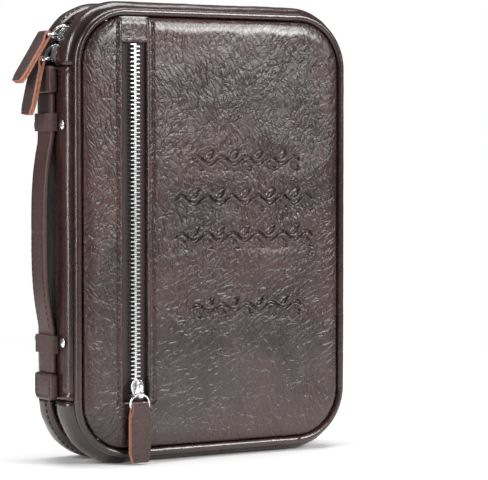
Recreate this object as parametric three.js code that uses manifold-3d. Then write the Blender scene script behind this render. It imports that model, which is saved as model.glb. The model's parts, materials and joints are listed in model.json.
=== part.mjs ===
// A zip-around leather Bible case that stands on its bottom edge, with its Bible inside.
// Millimetres, +Z up. The front cover faces -Y and the spine faces -X. Every piece is placed
// in the case's own frame, with x = 0 and y = 0 in the middle of the case and z = 0 under it.
// The last lines move the whole group so that its origin is the bottom centre of its box.
import * as THREE from 'three';
import { mergeVertices } from 'three/addons/utils/BufferGeometryUtils.js';
import Module from 'manifold-3d';

const wasm = await Module();
wasm.setup();

// ---- driving dimensions -------------------------------------------------------------------
const CASE_WIDTH = 186;
const CASE_HEIGHT = 260;
const CASE_DEPTH = 53;
const RIM = 8.8; // from the edge of a cover panel out to the side of the case
const CORNER_RADIUS = 27.5; // of a cover panel
const CLEARANCE = 0.3; // between pieces that touch
const ARC_STEPS = 7; // straight steps in each quarter turn

// covers, from the outside in
const PANEL_CROWN = 2.5; // how far the padded panel swells in front of its own edge
const PANEL_EDGE = 1.4; // thickness of the panel at its edge
const POCKET_BAG = 0.4;
const BOARD = 0.8;
const BOARD_INSET = 1; // of the stiffener and lining inside the panel's outline
const LINING = 0.6;
const SLEEVE = 0.6;
const SLEEVE_INSET = 2;
const SLEEVE_FROM_EDGE = 20; // from the panel's spine edge to the mouth of the inside sleeve
const PIPING_RADIUS = 2.2;

// gusset and main zip
const GUSSET_WALL = 3.2;
const VALLEY_GAP = 0.2; // between each gusset and a slider that runs in the valley between them
const TAPE = 0.7;
const TAPE_HALF_WIDTH = 9.5;
const CHAIN_HALF_WIDTH = 2.9;
const CHAIN_HEIGHT = 2.4;

// outside pocket in the front cover
const POCKET_X = -52.1; // middle of the pocket zip
const POCKET_GAP = 15.2; // width of the opening that shows the zip
const POCKET_TOP_INSET = 15; // from the top of the panel down to the opening
const POCKET_SLIDER_GAP = 1.75; // from the bottom of the opening up to the slider
const POCKET_BAG_INSET = 6; // of the bag inside the panel's outline
const POCKET_PULL_RISE = 1.4; // of the hanging pull's end above the bottom of the case

// spine and handle
const SPINE_FACE = 0.4; // how far the spine's face lies inside the side of the gussets
const SPINE_EDGE_DROP = 3.9; // how far the spine's padding falls back at its seams
const SPINE_EDGE_RUN = 4.2; // width of the stretch that falls back
const STRAP_WIDTH = 17;
const STRAP_THICKNESS = 3.2;
const STRAP_BOW = 5; // how far the strap stands off the spine in the middle
const GRIP_LENGTH = 52;
const STOPPER_INSET = 0.3; // from the end of the spine in to the end of a stopper
const KEEPER_HEIGHT = 10;
const KEEPER_WALL = 1.4;
const KEEPER_PLAY = 0.7; // beside the strap inside a keeper
const KEEPER_TRAVEL = 11.3; // gap between each stopper and its keeper
const STOPPER_LENGTH = 15;
const STOPPER_WIDTH = 21;
const STOPPER_EXTRA = 1.8; // how much thicker a stopper is than the strap
const RIVET_RADIUS = 2.75;
const RIVET_HEIGHT = 1.3;
const RIVET_GAP = 2.65; // between a rivet's head and its keeper
const RIVET_DROP = 1.5; // of the rivets from the middle of their keeper towards the grip

// sliders, rings and pulls
const SLIDER_LENGTH = 10.5;
const SLIDER_WIDTH = 8;
const SLIDER_PLATE = 1.5;
const BAIL_THICKNESS = 2.6;
const BAIL_OUT = 4.2; // from the slider's underside out to the ring's hole
const BAIL_BACK = 3.4; // from the slider's middle back to the ring's hole
const BAIL_HOLE = 1.35;
const RING_WIDTH = 13.2;
const RING_WIRE = 1.4;
const RING_LENGTH = 7;
const PULL_WIDTH = 12.4;
const PULL_LENGTH = 31;
const PULL_THICKNESS = 3.2;
const PULL_LEATHER = 1.3; // thickness of the leather where it folds round the ring
const PULL_CORNER = 1.4;
const PULL_GAP = 0.4; // between the two main pulls where one leans over the other
const PULL_STOPPER_GAP = 0.92; // between the lower one and the stopper that it leans over
const SLIDER_RISE = 1.72; // from the end of the spine up to the lower of the two main sliders
const SLIDER_GAP = 1.24; // between the two main sliders

// Bible, which fills the case up to these gaps
const BIBLE_SPINE_GAP = 7.2; // from the covers' hinge line
const BIBLE_EDGE_GAP = 8.8; // from the opening edge of the panels
const BIBLE_CORNER_GAP = 1.02; // from the rounded corners of the panels, at its spine
const BIBLE_INSET = 1.5; // of its own rounded corners inside the panels' outline
const BIBLE_BOARD = 1.6;
const BOARD_OVERHANG = 4; // of the boards past the pages
const PAGE_GAP = 0.75; // half of the gap that the ribbons lie in
const INSERT_ROOM = 2.2; // between a sleeve and the pages, for what the cover's pockets hold
const HEADBAND = 1.6;
const HEADBAND_DEPTH = 2.6;
const RIBBON_WIDTH = 7;
const RIBBON = 0.35;
const RIBBON_SLANTS = [9, 24]; // how far each ribbon slants away from the spine
const RIBBON_TAIL = 4; // of a ribbon below the Bible

// pockets inside the covers
const PEN_SLEEVE_WIDTH = 14;
const PEN_SLEEVE_COUNT = 3;
const PEN_SLEEVE_LENGTH = 78;
const PEN_SLEEVE_SWELL = 2.9;
const PEN_SLEEVE_SEAM = 0.5; // thickness of the cloth between two sleeves
const PEN_SLEEVE_INSET = 5; // from the mouth of the inside sleeve
const PEN_SLEEVE_RISE = 6; // above the bottom of the Bible
const CARD_STEP = 34;
const CARD_CLOTH = 0.5;
const CARD_INSET = 6;
const CARD_TOP_INSET = 10;
const CARD_GAP = 7; // between the card pockets and the clear window below them
const WINDOW_SIZE = 72;
const WINDOW_INSET = 18;
const WINDOW_RISE = 8;
const WINDOW_FILM = 0.6;

// ---- places worked out from them ------------------------------------------------------------
const panelWidth = CASE_WIDTH - 2 * RIM;
const panelHeight = CASE_HEIGHT - 2 * RIM;
const middleZ = CASE_HEIGHT / 2;
const cornerX = panelWidth / 2 - CORNER_RADIUS;
const cornerUp = panelHeight / 2 - CORNER_RADIUS;
const spineTop = middleZ + cornerUp;
const spineBottom = middleZ - cornerUp;

// Depths from the middle plane out to each layer's outer and inner face.
const panelBack = CASE_DEPTH / 2 - PANEL_CROWN - PANEL_EDGE;
const bagOuter = panelBack - CLEARANCE;
const boardOuter = bagOuter - POCKET_BAG - CLEARANCE;
const liningOuter = boardOuter - BOARD - CLEARANCE;
const bibleBoardOuter = liningOuter - LINING - CLEARANCE;
const sleeveOuter = bibleBoardOuter - BIBLE_BOARD - CLEARANCE;
const insertOuter = sleeveOuter - SLEEVE - CLEARANCE;
const pagesOuter = insertOuter - INSERT_ROOM;

const pipingDepth = panelBack + 0.1;
const pipingOut = PIPING_RADIUS + CLEARANCE + 0.1;
const valleyHalf = SLIDER_WIDTH / 2 + VALLEY_GAP;
const gussetFront = pipingDepth - PIPING_RADIUS - 0.2;
const tapeOut = 1.3;
const chainTop = tapeOut + TAPE + CHAIN_HEIGHT;
const hingeX = -(panelWidth / 2 + pipingOut);

const spineFaceX = -(CASE_WIDTH / 2 - SPINE_FACE);
const strapBackX = spineFaceX - CLEARANCE;
const stopperUp = cornerUp - STOPPER_INSET - STOPPER_LENGTH;
const keeperUp = stopperUp - KEEPER_TRAVEL - KEEPER_HEIGHT / 2;

const panelLeft = -panelWidth / 2;
const panelRight = panelWidth / 2;
const sleeveLeft = panelLeft + SLEEVE_FROM_EDGE;
const bibleLeft = hingeX + BIBLE_SPINE_GAP;
const bibleRight = panelRight - BIBLE_EDGE_GAP;
const bibleUp = cornerUp + Math.sqrt((CORNER_RADIUS - BIBLE_CORNER_GAP) ** 2 - (bibleLeft + cornerX) ** 2);
const bibleTop = middleZ + bibleUp;
const bibleBottom = middleZ - bibleUp;
const pagesLeft = bibleLeft + BIBLE_BOARD + CLEARANCE;
const pagesTop = bibleTop - BOARD_OVERHANG;
const pagesBottom = bibleBottom + BOARD_OVERHANG;

// ---- colours --------------------------------------------------------------------------------
function finish(colour, roughness, metalness = 0) {
  return new THREE.MeshStandardMaterial({ color: colour, roughness, metalness });
}
const LEATHER = finish(0x3a2526, 0.5);
const EDGE_LEATHER = finish(0x4a2f2c, 0.55);
const LINING_CLOTH = finish(0x6e3a2e, 0.75);
const STIFFENER = finish(0x8a8378, 0.9);
const TAPE_CLOTH = finish(0x2a1c1c, 0.85);
const STEEL = finish(0xc9c9c9, 0.25, 1);
const BIBLE_LEATHER = finish(0x1c1718, 0.55);
const PAPER = finish(0xe9e2cf, 0.9);
const RIBBON_CLOTH = finish(0x7c1e22, 0.6);
const CLEAR = finish(0xcfc7ae, 0.2);

// ---- building blocks ------------------------------------------------------------------------
const AXIS_X = new THREE.Vector3(1, 0, 0);
const AXIS_Y = new THREE.Vector3(0, 1, 0);
const AXIS_Z = new THREE.Vector3(0, 0, 1);
const ORIGIN = new THREE.Vector3(0, 0, 0);
const group = new THREE.Group();

function add(name, geometry, material) {
  const mesh = new THREE.Mesh(geometry, material);
  mesh.name = name;
  group.add(mesh);
}

function bare(geometry) {
  const g = geometry.clone();
  g.deleteAttribute('normal');
  g.deleteAttribute('uv');
  return mergeVertices(g, 1e-4);
}

function solid(geometry) {
  const g = bare(geometry);
  return new wasm.Manifold(new wasm.Mesh({
    numProp: 3,
    vertProperties: new Float32Array(g.attributes.position.array),
    triVerts: new Uint32Array(g.index.array),
  }));
}

function geometryOf(manifold) {
  const mesh = manifold.getMesh();
  const g = new THREE.BufferGeometry();
  g.setAttribute('position', new THREE.BufferAttribute(new Float32Array(mesh.vertProperties), 3));
  g.setIndex(new THREE.BufferAttribute(new Uint32Array(mesh.triVerts), 1));
  return g;
}

function join(...geometries) {
  return geometryOf(geometries.map(solid).reduce((a, b) => a.add(b)));
}

// A box between two corners.
function block(x0, x1, y0, y1, z0, z1) {
  const g = new THREE.BoxGeometry(x1 - x0, y1 - y0, z1 - z0);
  return g.translate((x0 + x1) / 2, (y0 + y1) / 2, (z0 + z1) / 2);
}

function flat(points) {
  return new THREE.Shape(points.map(([a, b]) => new THREE.Vector2(a, b)));
}

// A round hole drawn with straight steps.
function roundHole(x, y, radius, steps = 8) {
  return new THREE.Path(Array.from({ length: steps }, (_, i) => {
    const a = (-2 * Math.PI * i) / steps;
    return new THREE.Vector2(x + radius * Math.cos(a), y + radius * Math.sin(a));
  }));
}

// A flat shape drawn along the directions a and b, with depth along c, from c0 to c1.
function slab(shape, a, b, origin, c0, c1, curveSegments = 6) {
  const c = new THREE.Vector3().crossVectors(a, b);
  const g = new THREE.ExtrudeGeometry(shape, { depth: c1 - c0, bevelEnabled: false, curveSegments });
  g.translate(0, 0, c0);
  return g.applyMatrix4(new THREE.Matrix4().makeBasis(a, b, c).setPosition(origin));
}

// A solid through rings of points, each ring with the same number of points, with flat ends.
function loft(rings, closed = false) {
  const n = rings[0].length;
  const position = rings.flat().flatMap((p) => [p.x, p.y, p.z]);
  const index = [];
  const steps = closed ? rings.length : rings.length - 1;
  for (let i = 0; i < steps; i += 1) {
    const next = (i + 1) % rings.length;
    for (let j = 0; j < n; j += 1) {
      const k = (j + 1) % n;
      index.push(i * n + j, next * n + j, next * n + k);
      index.push(i * n + j, next * n + k, i * n + k);
    }
  }
  if (!closed) {
    const [origin, second] = rings[0];
    const u = second.clone().sub(origin).normalize();
    const normal = new THREE.Vector3();
    rings[0].forEach((p, j) => {
      const q = rings[0][(j + 1) % n];
      normal.add(new THREE.Vector3().crossVectors(p.clone().sub(origin), q.clone().sub(origin)));
    });
    const v = new THREE.Vector3().crossVectors(normal.normalize(), u);
    const outline = rings[0].map((p) => {
      const d = p.clone().sub(origin);
      return new THREE.Vector2(d.dot(u), d.dot(v));
    });
    const last = (rings.length - 1) * n;
    for (const [a, b, c] of THREE.ShapeUtils.triangulateShape(outline, [])) {
      index.push(a, b, c);
      index.push(last + a, last + c, last + b);
    }
  }
  const g = new THREE.BufferGeometry();
  g.setAttribute('position', new THREE.Float32BufferAttribute(position, 3));
  g.setIndex(index);
  return facingOut(g);
}

function facingOut(g) {
  const p = g.attributes.position;
  const index = g.index.array;
  const [a, b, c] = [0, 1, 2].map(() => new THREE.Vector3());
  let volume = 0;
  for (let i = 0; i < index.length; i += 3) {
    a.fromBufferAttribute(p, index[i]);
    b.fromBufferAttribute(p, index[i + 1]);
    c.fromBufferAttribute(p, index[i + 2]);
    volume += a.dot(b.cross(c));
  }
  if (volume < 0) {
    for (let i = 0; i < index.length; i += 3) [index[i], index[i + 1]] = [index[i + 1], index[i]];
  }
  return g;
}

// ---- the outline that the covers, gussets and zip follow ---------------------------------------
// Each corner is an arc round its own centre. Points carry the centre and the outward angle.
function corner(sideX, sideZ, from, to) {
  return Array.from({ length: ARC_STEPS + 1 }, (_, i) => ({
    x: sideX * cornerX,
    z: middleZ + sideZ * cornerUp,
    angle: THREE.MathUtils.degToRad(from + ((to - from) * i) / ARC_STEPS),
  }));
}
const upperSpineCorner = corner(-1, 1, 180, 90);
const lowerSpineCorner = corner(-1, -1, 270, 180);
const upperEdgeCorner = corner(1, 1, 90, 0);
const lowerEdgeCorner = corner(1, -1, 360, 270);
const wholeOutline = [...upperSpineCorner, ...upperEdgeCorner, ...lowerEdgeCorner, ...lowerSpineCorner];

// The stretch that rides on a cover runs over the top, down the opening edge and along the
// bottom, from one spine corner to the other.
const start = { ...upperSpineCorner[ARC_STEPS] };
start.x += CLEARANCE;
const end = { ...lowerSpineCorner[0] };
end.x += CLEARANCE;
const coverOutline = [start, ...upperEdgeCorner, ...lowerEdgeCorner, end];

function outlinePoint({ x, z, angle }, out, y) {
  const r = CORNER_RADIUS + out;
  return new THREE.Vector3(x + r * Math.cos(angle), y, z + r * Math.sin(angle));
}

// A section of [distance out from the outline, depth] pairs carried along the outline.
function sweep(section, outline, closed = false) {
  return loft(outline.map((at) => section.map(([out, y]) => outlinePoint(at, out, y))), closed);
}

// A flat sheet inside a cover, from its outer depth inwards. Its outline is the panel's, drawn in
// by inset and cut off at the limits x0, x1, z0 and z1. side is -1 in front and 1 at the back.
function sheet(side, inset, outer, thickness, x0 = panelLeft, x1 = panelRight, z0 = 0, z1 = CASE_HEIGHT) {
  const edge = wholeOutline.map((at) => outlinePoint(at, -inset, 0));
  const shape = clip(edge.map((p) => [p.x, p.z]), x0, x1, z0, z1);
  const faces = [-side * outer, -side * (outer - thickness)];
  return slab(flat(shape), AXIS_X, AXIS_Z, ORIGIN, Math.min(...faces), Math.max(...faces));
}

// The part of a convex outline that lies between four straight lines.
function clip(points, x0, x1, z0, z1) {
  const sides = [(p) => p[0] - x0, (p) => x1 - p[0], (p) => p[1] - z0, (p) => z1 - p[1]];
  return sides.reduce((kept, inside) => kept.flatMap((p, i) => {
    const q = kept[(i + 1) % kept.length];
    const [dp, dq] = [inside(p), inside(q)];
    const out = dp >= 0 ? [p] : [];
    if (dp * dq < 0) {
      const t = dp / (dp - dq);
      out.push([p[0] + t * (q[0] - p[0]), p[1] + t * (q[1] - p[1])]);
    }
    return out;
  }), points);
}

// ---- covers ---------------------------------------------------------------------------------
// side is -1 for the front cover and 1 for the back cover.

// The padded outer leather: an edge of its own thickness, and a face drawn in and swelling out.
function paddedPanel(side) {
  const levels = [
    [0, panelBack],
    [0, panelBack + PANEL_EDGE],
    [3, panelBack + PANEL_EDGE + 0.6 * PANEL_CROWN],
    [9, CASE_DEPTH / 2],
  ];
  return loft(levels.map(([inset, depth]) => (
    wholeOutline.map((at) => outlinePoint(at, -inset, side * depth)))));
}

// The part of the padded leather that lies between the limits x0, x1, z0 and z1.
function paddedPart(side, x0, x1, z0 = 0, z1 = CASE_HEIGHT) {
  const part = block(x0, x1, -CASE_DEPTH, CASE_DEPTH, z0, z1);
  return geometryOf(solid(paddedPanel(side)).intersect(solid(part)));
}

// The rolled edge round a cover: an eight-sided tube.
function piping(side) {
  const sides = 8;
  const r = (0.96 * PIPING_RADIUS) / Math.cos(Math.PI / sides);
  const section = Array.from({ length: sides }, (_, i) => {
    const a = ((i + 0.5) / sides) * 2 * Math.PI;
    return [pipingOut + r * Math.cos(a), side * (pipingDepth + r * Math.sin(a))];
  });
  return sweep(section, wholeOutline, true);
}

// The padded side wall of one cover, which swells from the piping and falls to the zip.
function gussetSection(side) {
  const f = gussetFront;
  const outer = [
    [2.4, f],
    [6.4, f - 1.6],
    [RIM, f - 5.2],
    [RIM, f - 11.2],
    [7.2, valleyHalf + 1.2],
    [5.0, valleyHalf],
  ];
  const inner = [
    [2.4, valleyHalf],
    [RIM - GUSSET_WALL - 1, valleyHalf + 3],
    [RIM - GUSSET_WALL, f - 10.2],
    [RIM - GUSSET_WALL, f - 6.2],
    [3.4, f - 3.0],
    [-0.2, f - 1.8],
  ];
  return [...outer, ...inner].map(([out, depth]) => [out, side * depth]);
}

// Half of the zip: its tape, and its teeth as one raised band.
function zipHalfSection(side) {
  const near = CLEARANCE / 2;
  return [
    [tapeOut, TAPE_HALF_WIDTH],
    [tapeOut + TAPE, TAPE_HALF_WIDTH],
    [tapeOut + TAPE, CHAIN_HALF_WIDTH],
    [chainTop, CHAIN_HALF_WIDTH],
    [chainTop, near],
    [tapeOut, near],
  ].map(([out, depth]) => [out, side * depth]);
}

for (const [name, side] of [['front', -1], ['back', 1]]) {
  add(`${name}_piping`, piping(side), LEATHER);
  add(`${name}_gusset`, sweep(gussetSection(side), coverOutline), LEATHER);
  add(`${name}_zip_half`, sweep(zipHalfSection(side), coverOutline), TAPE_CLOTH);
  add(`${name}_stiffener`, sheet(side, BOARD_INSET, boardOuter, BOARD), STIFFENER);
  add(`${name}_lining`, sheet(side, BOARD_INSET, liningOuter, LINING), LINING_CLOTH);
  add(`${name}_sleeve`, sheet(side, SLEEVE_INSET, sleeveOuter, SLEEVE, sleeveLeft), LINING_CLOTH);
  add(`bible_${name}_board`,
    sheet(side, BIBLE_INSET, bibleBoardOuter, BIBLE_BOARD,
      bibleLeft + CLEARANCE, bibleRight, bibleBottom, bibleTop), BIBLE_LEATHER);
  add(`bible_${name}_pages`,
    sheet(side, BIBLE_INSET, pagesOuter, pagesOuter - PAGE_GAP,
      pagesLeft, bibleRight - BOARD_OVERHANG, pagesBottom, pagesTop), PAPER);
  for (const [level, spineCorner] of [['upper', upperSpineCorner], ['lower', lowerSpineCorner]]) {
    add(`${name}_gusset_${level}_end`, sweep(gussetSection(side), spineCorner), LEATHER);
  }
}
add('back_panel', paddedPanel(1), LEATHER);

// The zip's two ends stay closed round the spine corners, with both halves in one band.
function zipEndSection() {
  const half = zipHalfSection(-1).slice(0, 4);
  return [...half, ...half.map(([out, y]) => [out, -y]).reverse()];
}
add('zip_upper_end', sweep(zipEndSection(), upperSpineCorner), TAPE_CLOTH);
add('zip_lower_end', sweep(zipEndSection(), lowerSpineCorner), TAPE_CLOTH);

// ---- outside pocket ---------------------------------------------------------------------------
// The slider rests low on the zip, where its hanging pull ends just above the floor, and the
// opening ends just below it.
const pocketSliderZ = POCKET_PULL_RISE + PULL_LENGTH + RING_LENGTH + BAIL_BACK;
const openLeft = POCKET_X - POCKET_GAP / 2;
const openRight = POCKET_X + POCKET_GAP / 2;
const openBottom = pocketSliderZ - SLIDER_LENGTH / 2 - POCKET_SLIDER_GAP;
const openTop = middleZ + panelHeight / 2 - POCKET_TOP_INSET;
add('front_panel', paddedPart(-1, openRight, panelRight), LEATHER);
add('front_side_panel', paddedPart(-1, panelLeft, openLeft), LEATHER);
const blockLeft = openLeft + CLEARANCE;
const blockRight = openRight - CLEARANCE;
add('pocket_top_block', paddedPart(-1, blockLeft, blockRight, openTop), LEATHER);
add('pocket_bottom_block', paddedPart(-1, blockLeft, blockRight, 0, openBottom), LEATHER);
add('pocket_bag', sheet(-1, POCKET_BAG_INSET, bagOuter, POCKET_BAG), LINING_CLOTH);
const pocketTapeFront = panelBack + TAPE;
const pocketChainFront = pocketTapeFront + CHAIN_HEIGHT;
for (const [name, side] of [['left', -1], ['right', 1]]) {
  const outer = side < 0 ? blockLeft : blockRight;
  const x = (distance) => POCKET_X + side * distance;
  const outline = flat([
    [outer, -panelBack],
    [outer, -pocketTapeFront],
    [x(CHAIN_HALF_WIDTH), -pocketTapeFront],
    [x(CHAIN_HALF_WIDTH), -pocketChainFront],
    [x(CLEARANCE / 2), -pocketChainFront],
    [x(CLEARANCE / 2), -panelBack],
  ]);
  add(`pocket_zip_${name}`,
    slab(outline, AXIS_X, AXIS_Y, ORIGIN, openBottom + CLEARANCE, openTop - CLEARANCE), TAPE_CLOTH);
}

// ---- pockets inside the covers ----------------------------------------------------------------
// A row of pen sleeves, flat at the back and swelling towards the pages.
const penLeft = sleeveLeft + PEN_SLEEVE_INSET;
const penBottom = bibleBottom + PEN_SLEEVE_RISE;
const penBack = -insertOuter;
const penRight = penLeft + PEN_SLEEVE_COUNT * PEN_SLEEVE_WIDTH;
const penSeam = penBack + PEN_SLEEVE_SEAM;
const penProfile = new THREE.Shape();
penProfile.moveTo(penLeft, penBack);
penProfile.lineTo(penRight, penBack);
penProfile.lineTo(penRight, penSeam);
for (let left = penRight - PEN_SLEEVE_WIDTH; left >= penLeft - CLEARANCE; left -= PEN_SLEEVE_WIDTH) {
  penProfile.quadraticCurveTo(left + PEN_SLEEVE_WIDTH / 2, penBack + PEN_SLEEVE_SWELL, left, penSeam);
}
add('pen_sleeves',
  slab(penProfile, AXIS_X, AXIS_Y, ORIGIN, penBottom, penBottom + PEN_SLEEVE_LENGTH, 4), LINING_CLOTH);

const windowRight = panelRight - WINDOW_INSET;
const windowBottom = bibleBottom + WINDOW_RISE;
const windowTop = windowBottom + WINDOW_SIZE;
add('clear_window',
  block(windowRight - WINDOW_SIZE, windowRight, insertOuter - WINDOW_FILM, insertOuter,
    windowBottom, windowTop), CLEAR);

// Three overlapping card pockets, each a step lower and a step further out than the last.
const cardTop = bibleTop - CARD_TOP_INSET;
const cardBottom = windowTop + CARD_GAP;
const cardFace = (layers) => insertOuter - layers * CARD_CLOTH;
const cardProfile = flat([
  [insertOuter, cardBottom],
  [insertOuter, cardTop],
  [cardFace(1), cardTop],
  [cardFace(1), cardTop - CARD_STEP],
  [cardFace(2), cardTop - CARD_STEP],
  [cardFace(2), cardTop - 2 * CARD_STEP],
  [cardFace(3), cardTop - 2 * CARD_STEP],
  [cardFace(3), cardBottom],
]);
add('card_pockets',
  slab(cardProfile, AXIS_Y, AXIS_Z, ORIGIN, sleeveLeft + CARD_INSET, panelRight - CARD_INSET), LINING_CLOTH);

// ---- Bible spine and ribbons ------------------------------------------------------------------
const bibleSpineHalf = bibleBoardOuter - BIBLE_BOARD - CLEARANCE;
add('bible_spine',
  block(bibleLeft, bibleLeft + BIBLE_BOARD, -bibleSpineHalf, bibleSpineHalf, bibleBottom, bibleTop),
  BIBLE_LEATHER);
for (const [name, z] of [['upper', pagesTop + CLEARANCE], ['lower', pagesBottom - CLEARANCE - HEADBAND]]) {
  add(`${name}_headband`,
    block(pagesLeft, pagesLeft + HEADBAND_DEPTH, 1 - pagesOuter, pagesOuter - 1, z, z + HEADBAND),
    RIBBON_CLOTH);
}

// Each ribbon slants down between the pages from the top of the spine, one beside each half.
RIBBON_SLANTS.forEach((slant, i) => {
  const left = pagesLeft + 4;
  const tail = bibleBottom - RIBBON_TAIL;
  const outline = flat([
    [left, pagesTop - 1],
    [left + RIBBON_WIDTH, pagesTop - 1],
    [left + RIBBON_WIDTH + slant, tail + 3],
    [left + slant, tail],
  ]);
  const from = i === 0 ? 0.1 : -0.1 - RIBBON;
  add(`${['first', 'second'][i]}_ribbon_marker`,
    slab(outline, AXIS_X, AXIS_Z, ORIGIN, from, from + RIBBON), RIBBON_CLOTH);
});

// ---- spine --------------------------------------------------------------------------------------
const spineEdge = pipingDepth - PIPING_RADIUS - CLEARANCE;
const spineInnerX = -(panelWidth / 2 + tapeOut + TAPE + CLEARANCE); // in line with the zip's tape
const spineFlat = spineEdge - SPINE_EDGE_RUN; // half of the width of the spine's flat face
const spineRound = [spineFaceX + 0.36 * SPINE_EDGE_DROP, spineEdge - SPINE_EDGE_RUN / 3];
const spineOutline = flat([
  [spineFaceX, -spineFlat],
  [spineRound[0], -spineRound[1]],
  [spineFaceX + SPINE_EDGE_DROP, -spineEdge],
  [spineInnerX, -spineEdge],
  [spineInnerX, spineEdge],
  [spineFaceX + SPINE_EDGE_DROP, spineEdge],
  spineRound,
  [spineFaceX, spineFlat],
]);
const spineFrom = spineBottom + CLEARANCE;
const spineTo = spineTop - CLEARANCE;
add('spine_panel', slab(spineOutline, AXIS_X, AXIS_Y, ORIGIN, spineFrom, spineTo), LEATHER);
add('spine_lining',
  block(spineInnerX + CLEARANCE, spineInnerX + CLEARANCE + LINING, -spineEdge, spineEdge,
    spineFrom, spineTo), LINING_CLOTH);

// ---- handle ---------------------------------------------------------------------------------------
// The strap bows off the spine between its keepers and lies flat inside and beyond them.
const bowHalf = keeperUp - KEEPER_HEIGHT / 2;
function bowAt(z) {
  const d = Math.min(1, Math.abs(z - middleZ) / bowHalf);
  return STRAP_BOW * (1 - d ** 3.2) ** 1.4;
}

function strap(from, to, steps, thickness = STRAP_THICKNESS, width = STRAP_WIDTH) {
  const rings = Array.from({ length: steps + 1 }, (_, i) => {
    const z = from + ((to - from) * i) / steps;
    const back = strapBackX - bowAt(z);
    const [half, soft] = [width / 2, thickness * 0.3];
    return [
      [back, -half + soft], [back, half - soft], [back - soft, half],
      [back - thickness + soft, half], [back - thickness, half - soft],
      [back - thickness, -half + soft], [back - thickness + soft, -half], [back - soft, -half],
    ].map(([x, y]) => new THREE.Vector3(x, y, z));
  });
  return loft(rings);
}
const gripHalf = GRIP_LENGTH / 2;
add('handle_grip', strap(middleZ - gripHalf, middleZ + gripHalf, 6), LEATHER);
for (const [name, up] of [['upper', 1], ['lower', -1]]) {
  const z = (distance) => middleZ + up * distance;
  const strapFrom = z(gripHalf + CLEARANCE);
  add(`handle_strap_${name}`, strap(strapFrom, z(stopperUp - CLEARANCE), 9), LEATHER);
  add(`stopper_${name}`,
    strap(z(stopperUp), z(stopperUp + STOPPER_LENGTH), 1, STRAP_THICKNESS + STOPPER_EXTRA, STOPPER_WIDTH),
    LEATHER);

  const innerHalf = STRAP_WIDTH / 2 + KEEPER_PLAY;
  const innerX = strapBackX - STRAP_THICKNESS - CLEARANCE;
  const outerX = innerX - KEEPER_WALL;
  const outerHalf = innerHalf + KEEPER_WALL;
  const footX = spineFaceX - CLEARANCE;
  const keeperOutline = flat([
    [footX, -outerHalf], [outerX + 1.2, -outerHalf], [outerX, -outerHalf + 1.6],
    [outerX, outerHalf - 1.6], [outerX + 1.2, outerHalf], [footX, outerHalf],
    [footX, innerHalf], [innerX, innerHalf], [innerX, -innerHalf], [footX, -innerHalf],
  ]);
  const keeperBottom = z(keeperUp) - KEEPER_HEIGHT / 2;
  add(`keeper_${name}`,
    slab(keeperOutline, AXIS_X, AXIS_Y, ORIGIN, keeperBottom, keeperBottom + KEEPER_HEIGHT), EDGE_LEATHER);

  for (const [face, side] of [['front', -1], ['back', 1]]) {
    const dome = [[0, 0], [1, 0], [0.92, 0.46], [0.55, 0.85], [0, 1]];
    const head = dome.map(([r, h]) => new THREE.Vector2(r * RIVET_RADIUS, h * RIVET_HEIGHT));
    const rivet = new THREE.LatheGeometry(head, 10);
    rivet.rotateZ(Math.PI / 2);
    rivet.translate(footX, side * (outerHalf + RIVET_GAP + RIVET_RADIUS), z(keeperUp - RIVET_DROP));
    add(`rivet_${name}_${face}`, rivet, STEEL);
  }
}

// ---- sliders, rings and pulls ----------------------------------------------------------------------
// A slider's plate and bail, in its own frame: across the zip, along its travel, and out from it.
function slider(across, along, out, origin) {
  const half = SLIDER_LENGTH / 2;
  const wide = SLIDER_WIDTH / 2;
  const body = flat([
    [-wide * 0.72, -half], [wide * 0.72, -half], [wide, half * 0.25],
    [wide * 0.8, half], [-wide * 0.8, half], [-wide, half * 0.25],
  ]);
  const base = slab(body, across, along, origin, 0, SLIDER_PLATE);
  const side = new THREE.Shape();
  side.moveTo(-half * 0.95, SLIDER_PLATE - 0.2);
  side.lineTo(half * 0.7, SLIDER_PLATE - 0.2);
  side.lineTo(half * 0.6, SLIDER_PLATE + 1.4);
  side.lineTo(-BAIL_BACK + 1.2, BAIL_OUT + 2.2);
  side.lineTo(-BAIL_BACK - 1.6, BAIL_OUT + 2.0);
  side.lineTo(-BAIL_BACK - 2.2, BAIL_OUT);
  side.closePath();
  side.holes.push(roundHole(-BAIL_BACK, BAIL_OUT, BAIL_HOLE));
  const bail = slab(side, along, out, origin, -BAIL_THICKNESS / 2, BAIL_THICKNESS / 2, 3);
  return join(base, bail);
}

// A D-shaped ring whose top wire runs through the bail, drawn across the zip and down.
function ring(across, down, pivot) {
  const [outer, inner] = [RING_WIDTH / 2, RING_WIDTH / 2 - RING_WIRE];
  const half = RING_WIRE / 2;
  const d = new THREE.Shape();
  d.moveTo(-outer, RING_LENGTH + half);
  d.lineTo(outer, RING_LENGTH + half);
  d.lineTo(outer, 3.4);
  d.quadraticCurveTo(outer, -half, 2.2, -half);
  d.lineTo(-2.2, -half);
  d.quadraticCurveTo(-outer, -half, -outer, 3.4);
  d.closePath();
  const gap = new THREE.Path();
  gap.moveTo(-inner, RING_LENGTH - half);
  gap.lineTo(-inner, 3.6);
  gap.quadraticCurveTo(-inner, half, -2.2, half);
  gap.lineTo(2.2, half);
  gap.quadraticCurveTo(inner, half, inner, 3.6);
  gap.lineTo(inner, RING_LENGTH - half);
  gap.closePath();
  d.holes.push(gap);
  return slab(d, across, down, pivot, -half, half, 3);
}

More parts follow.
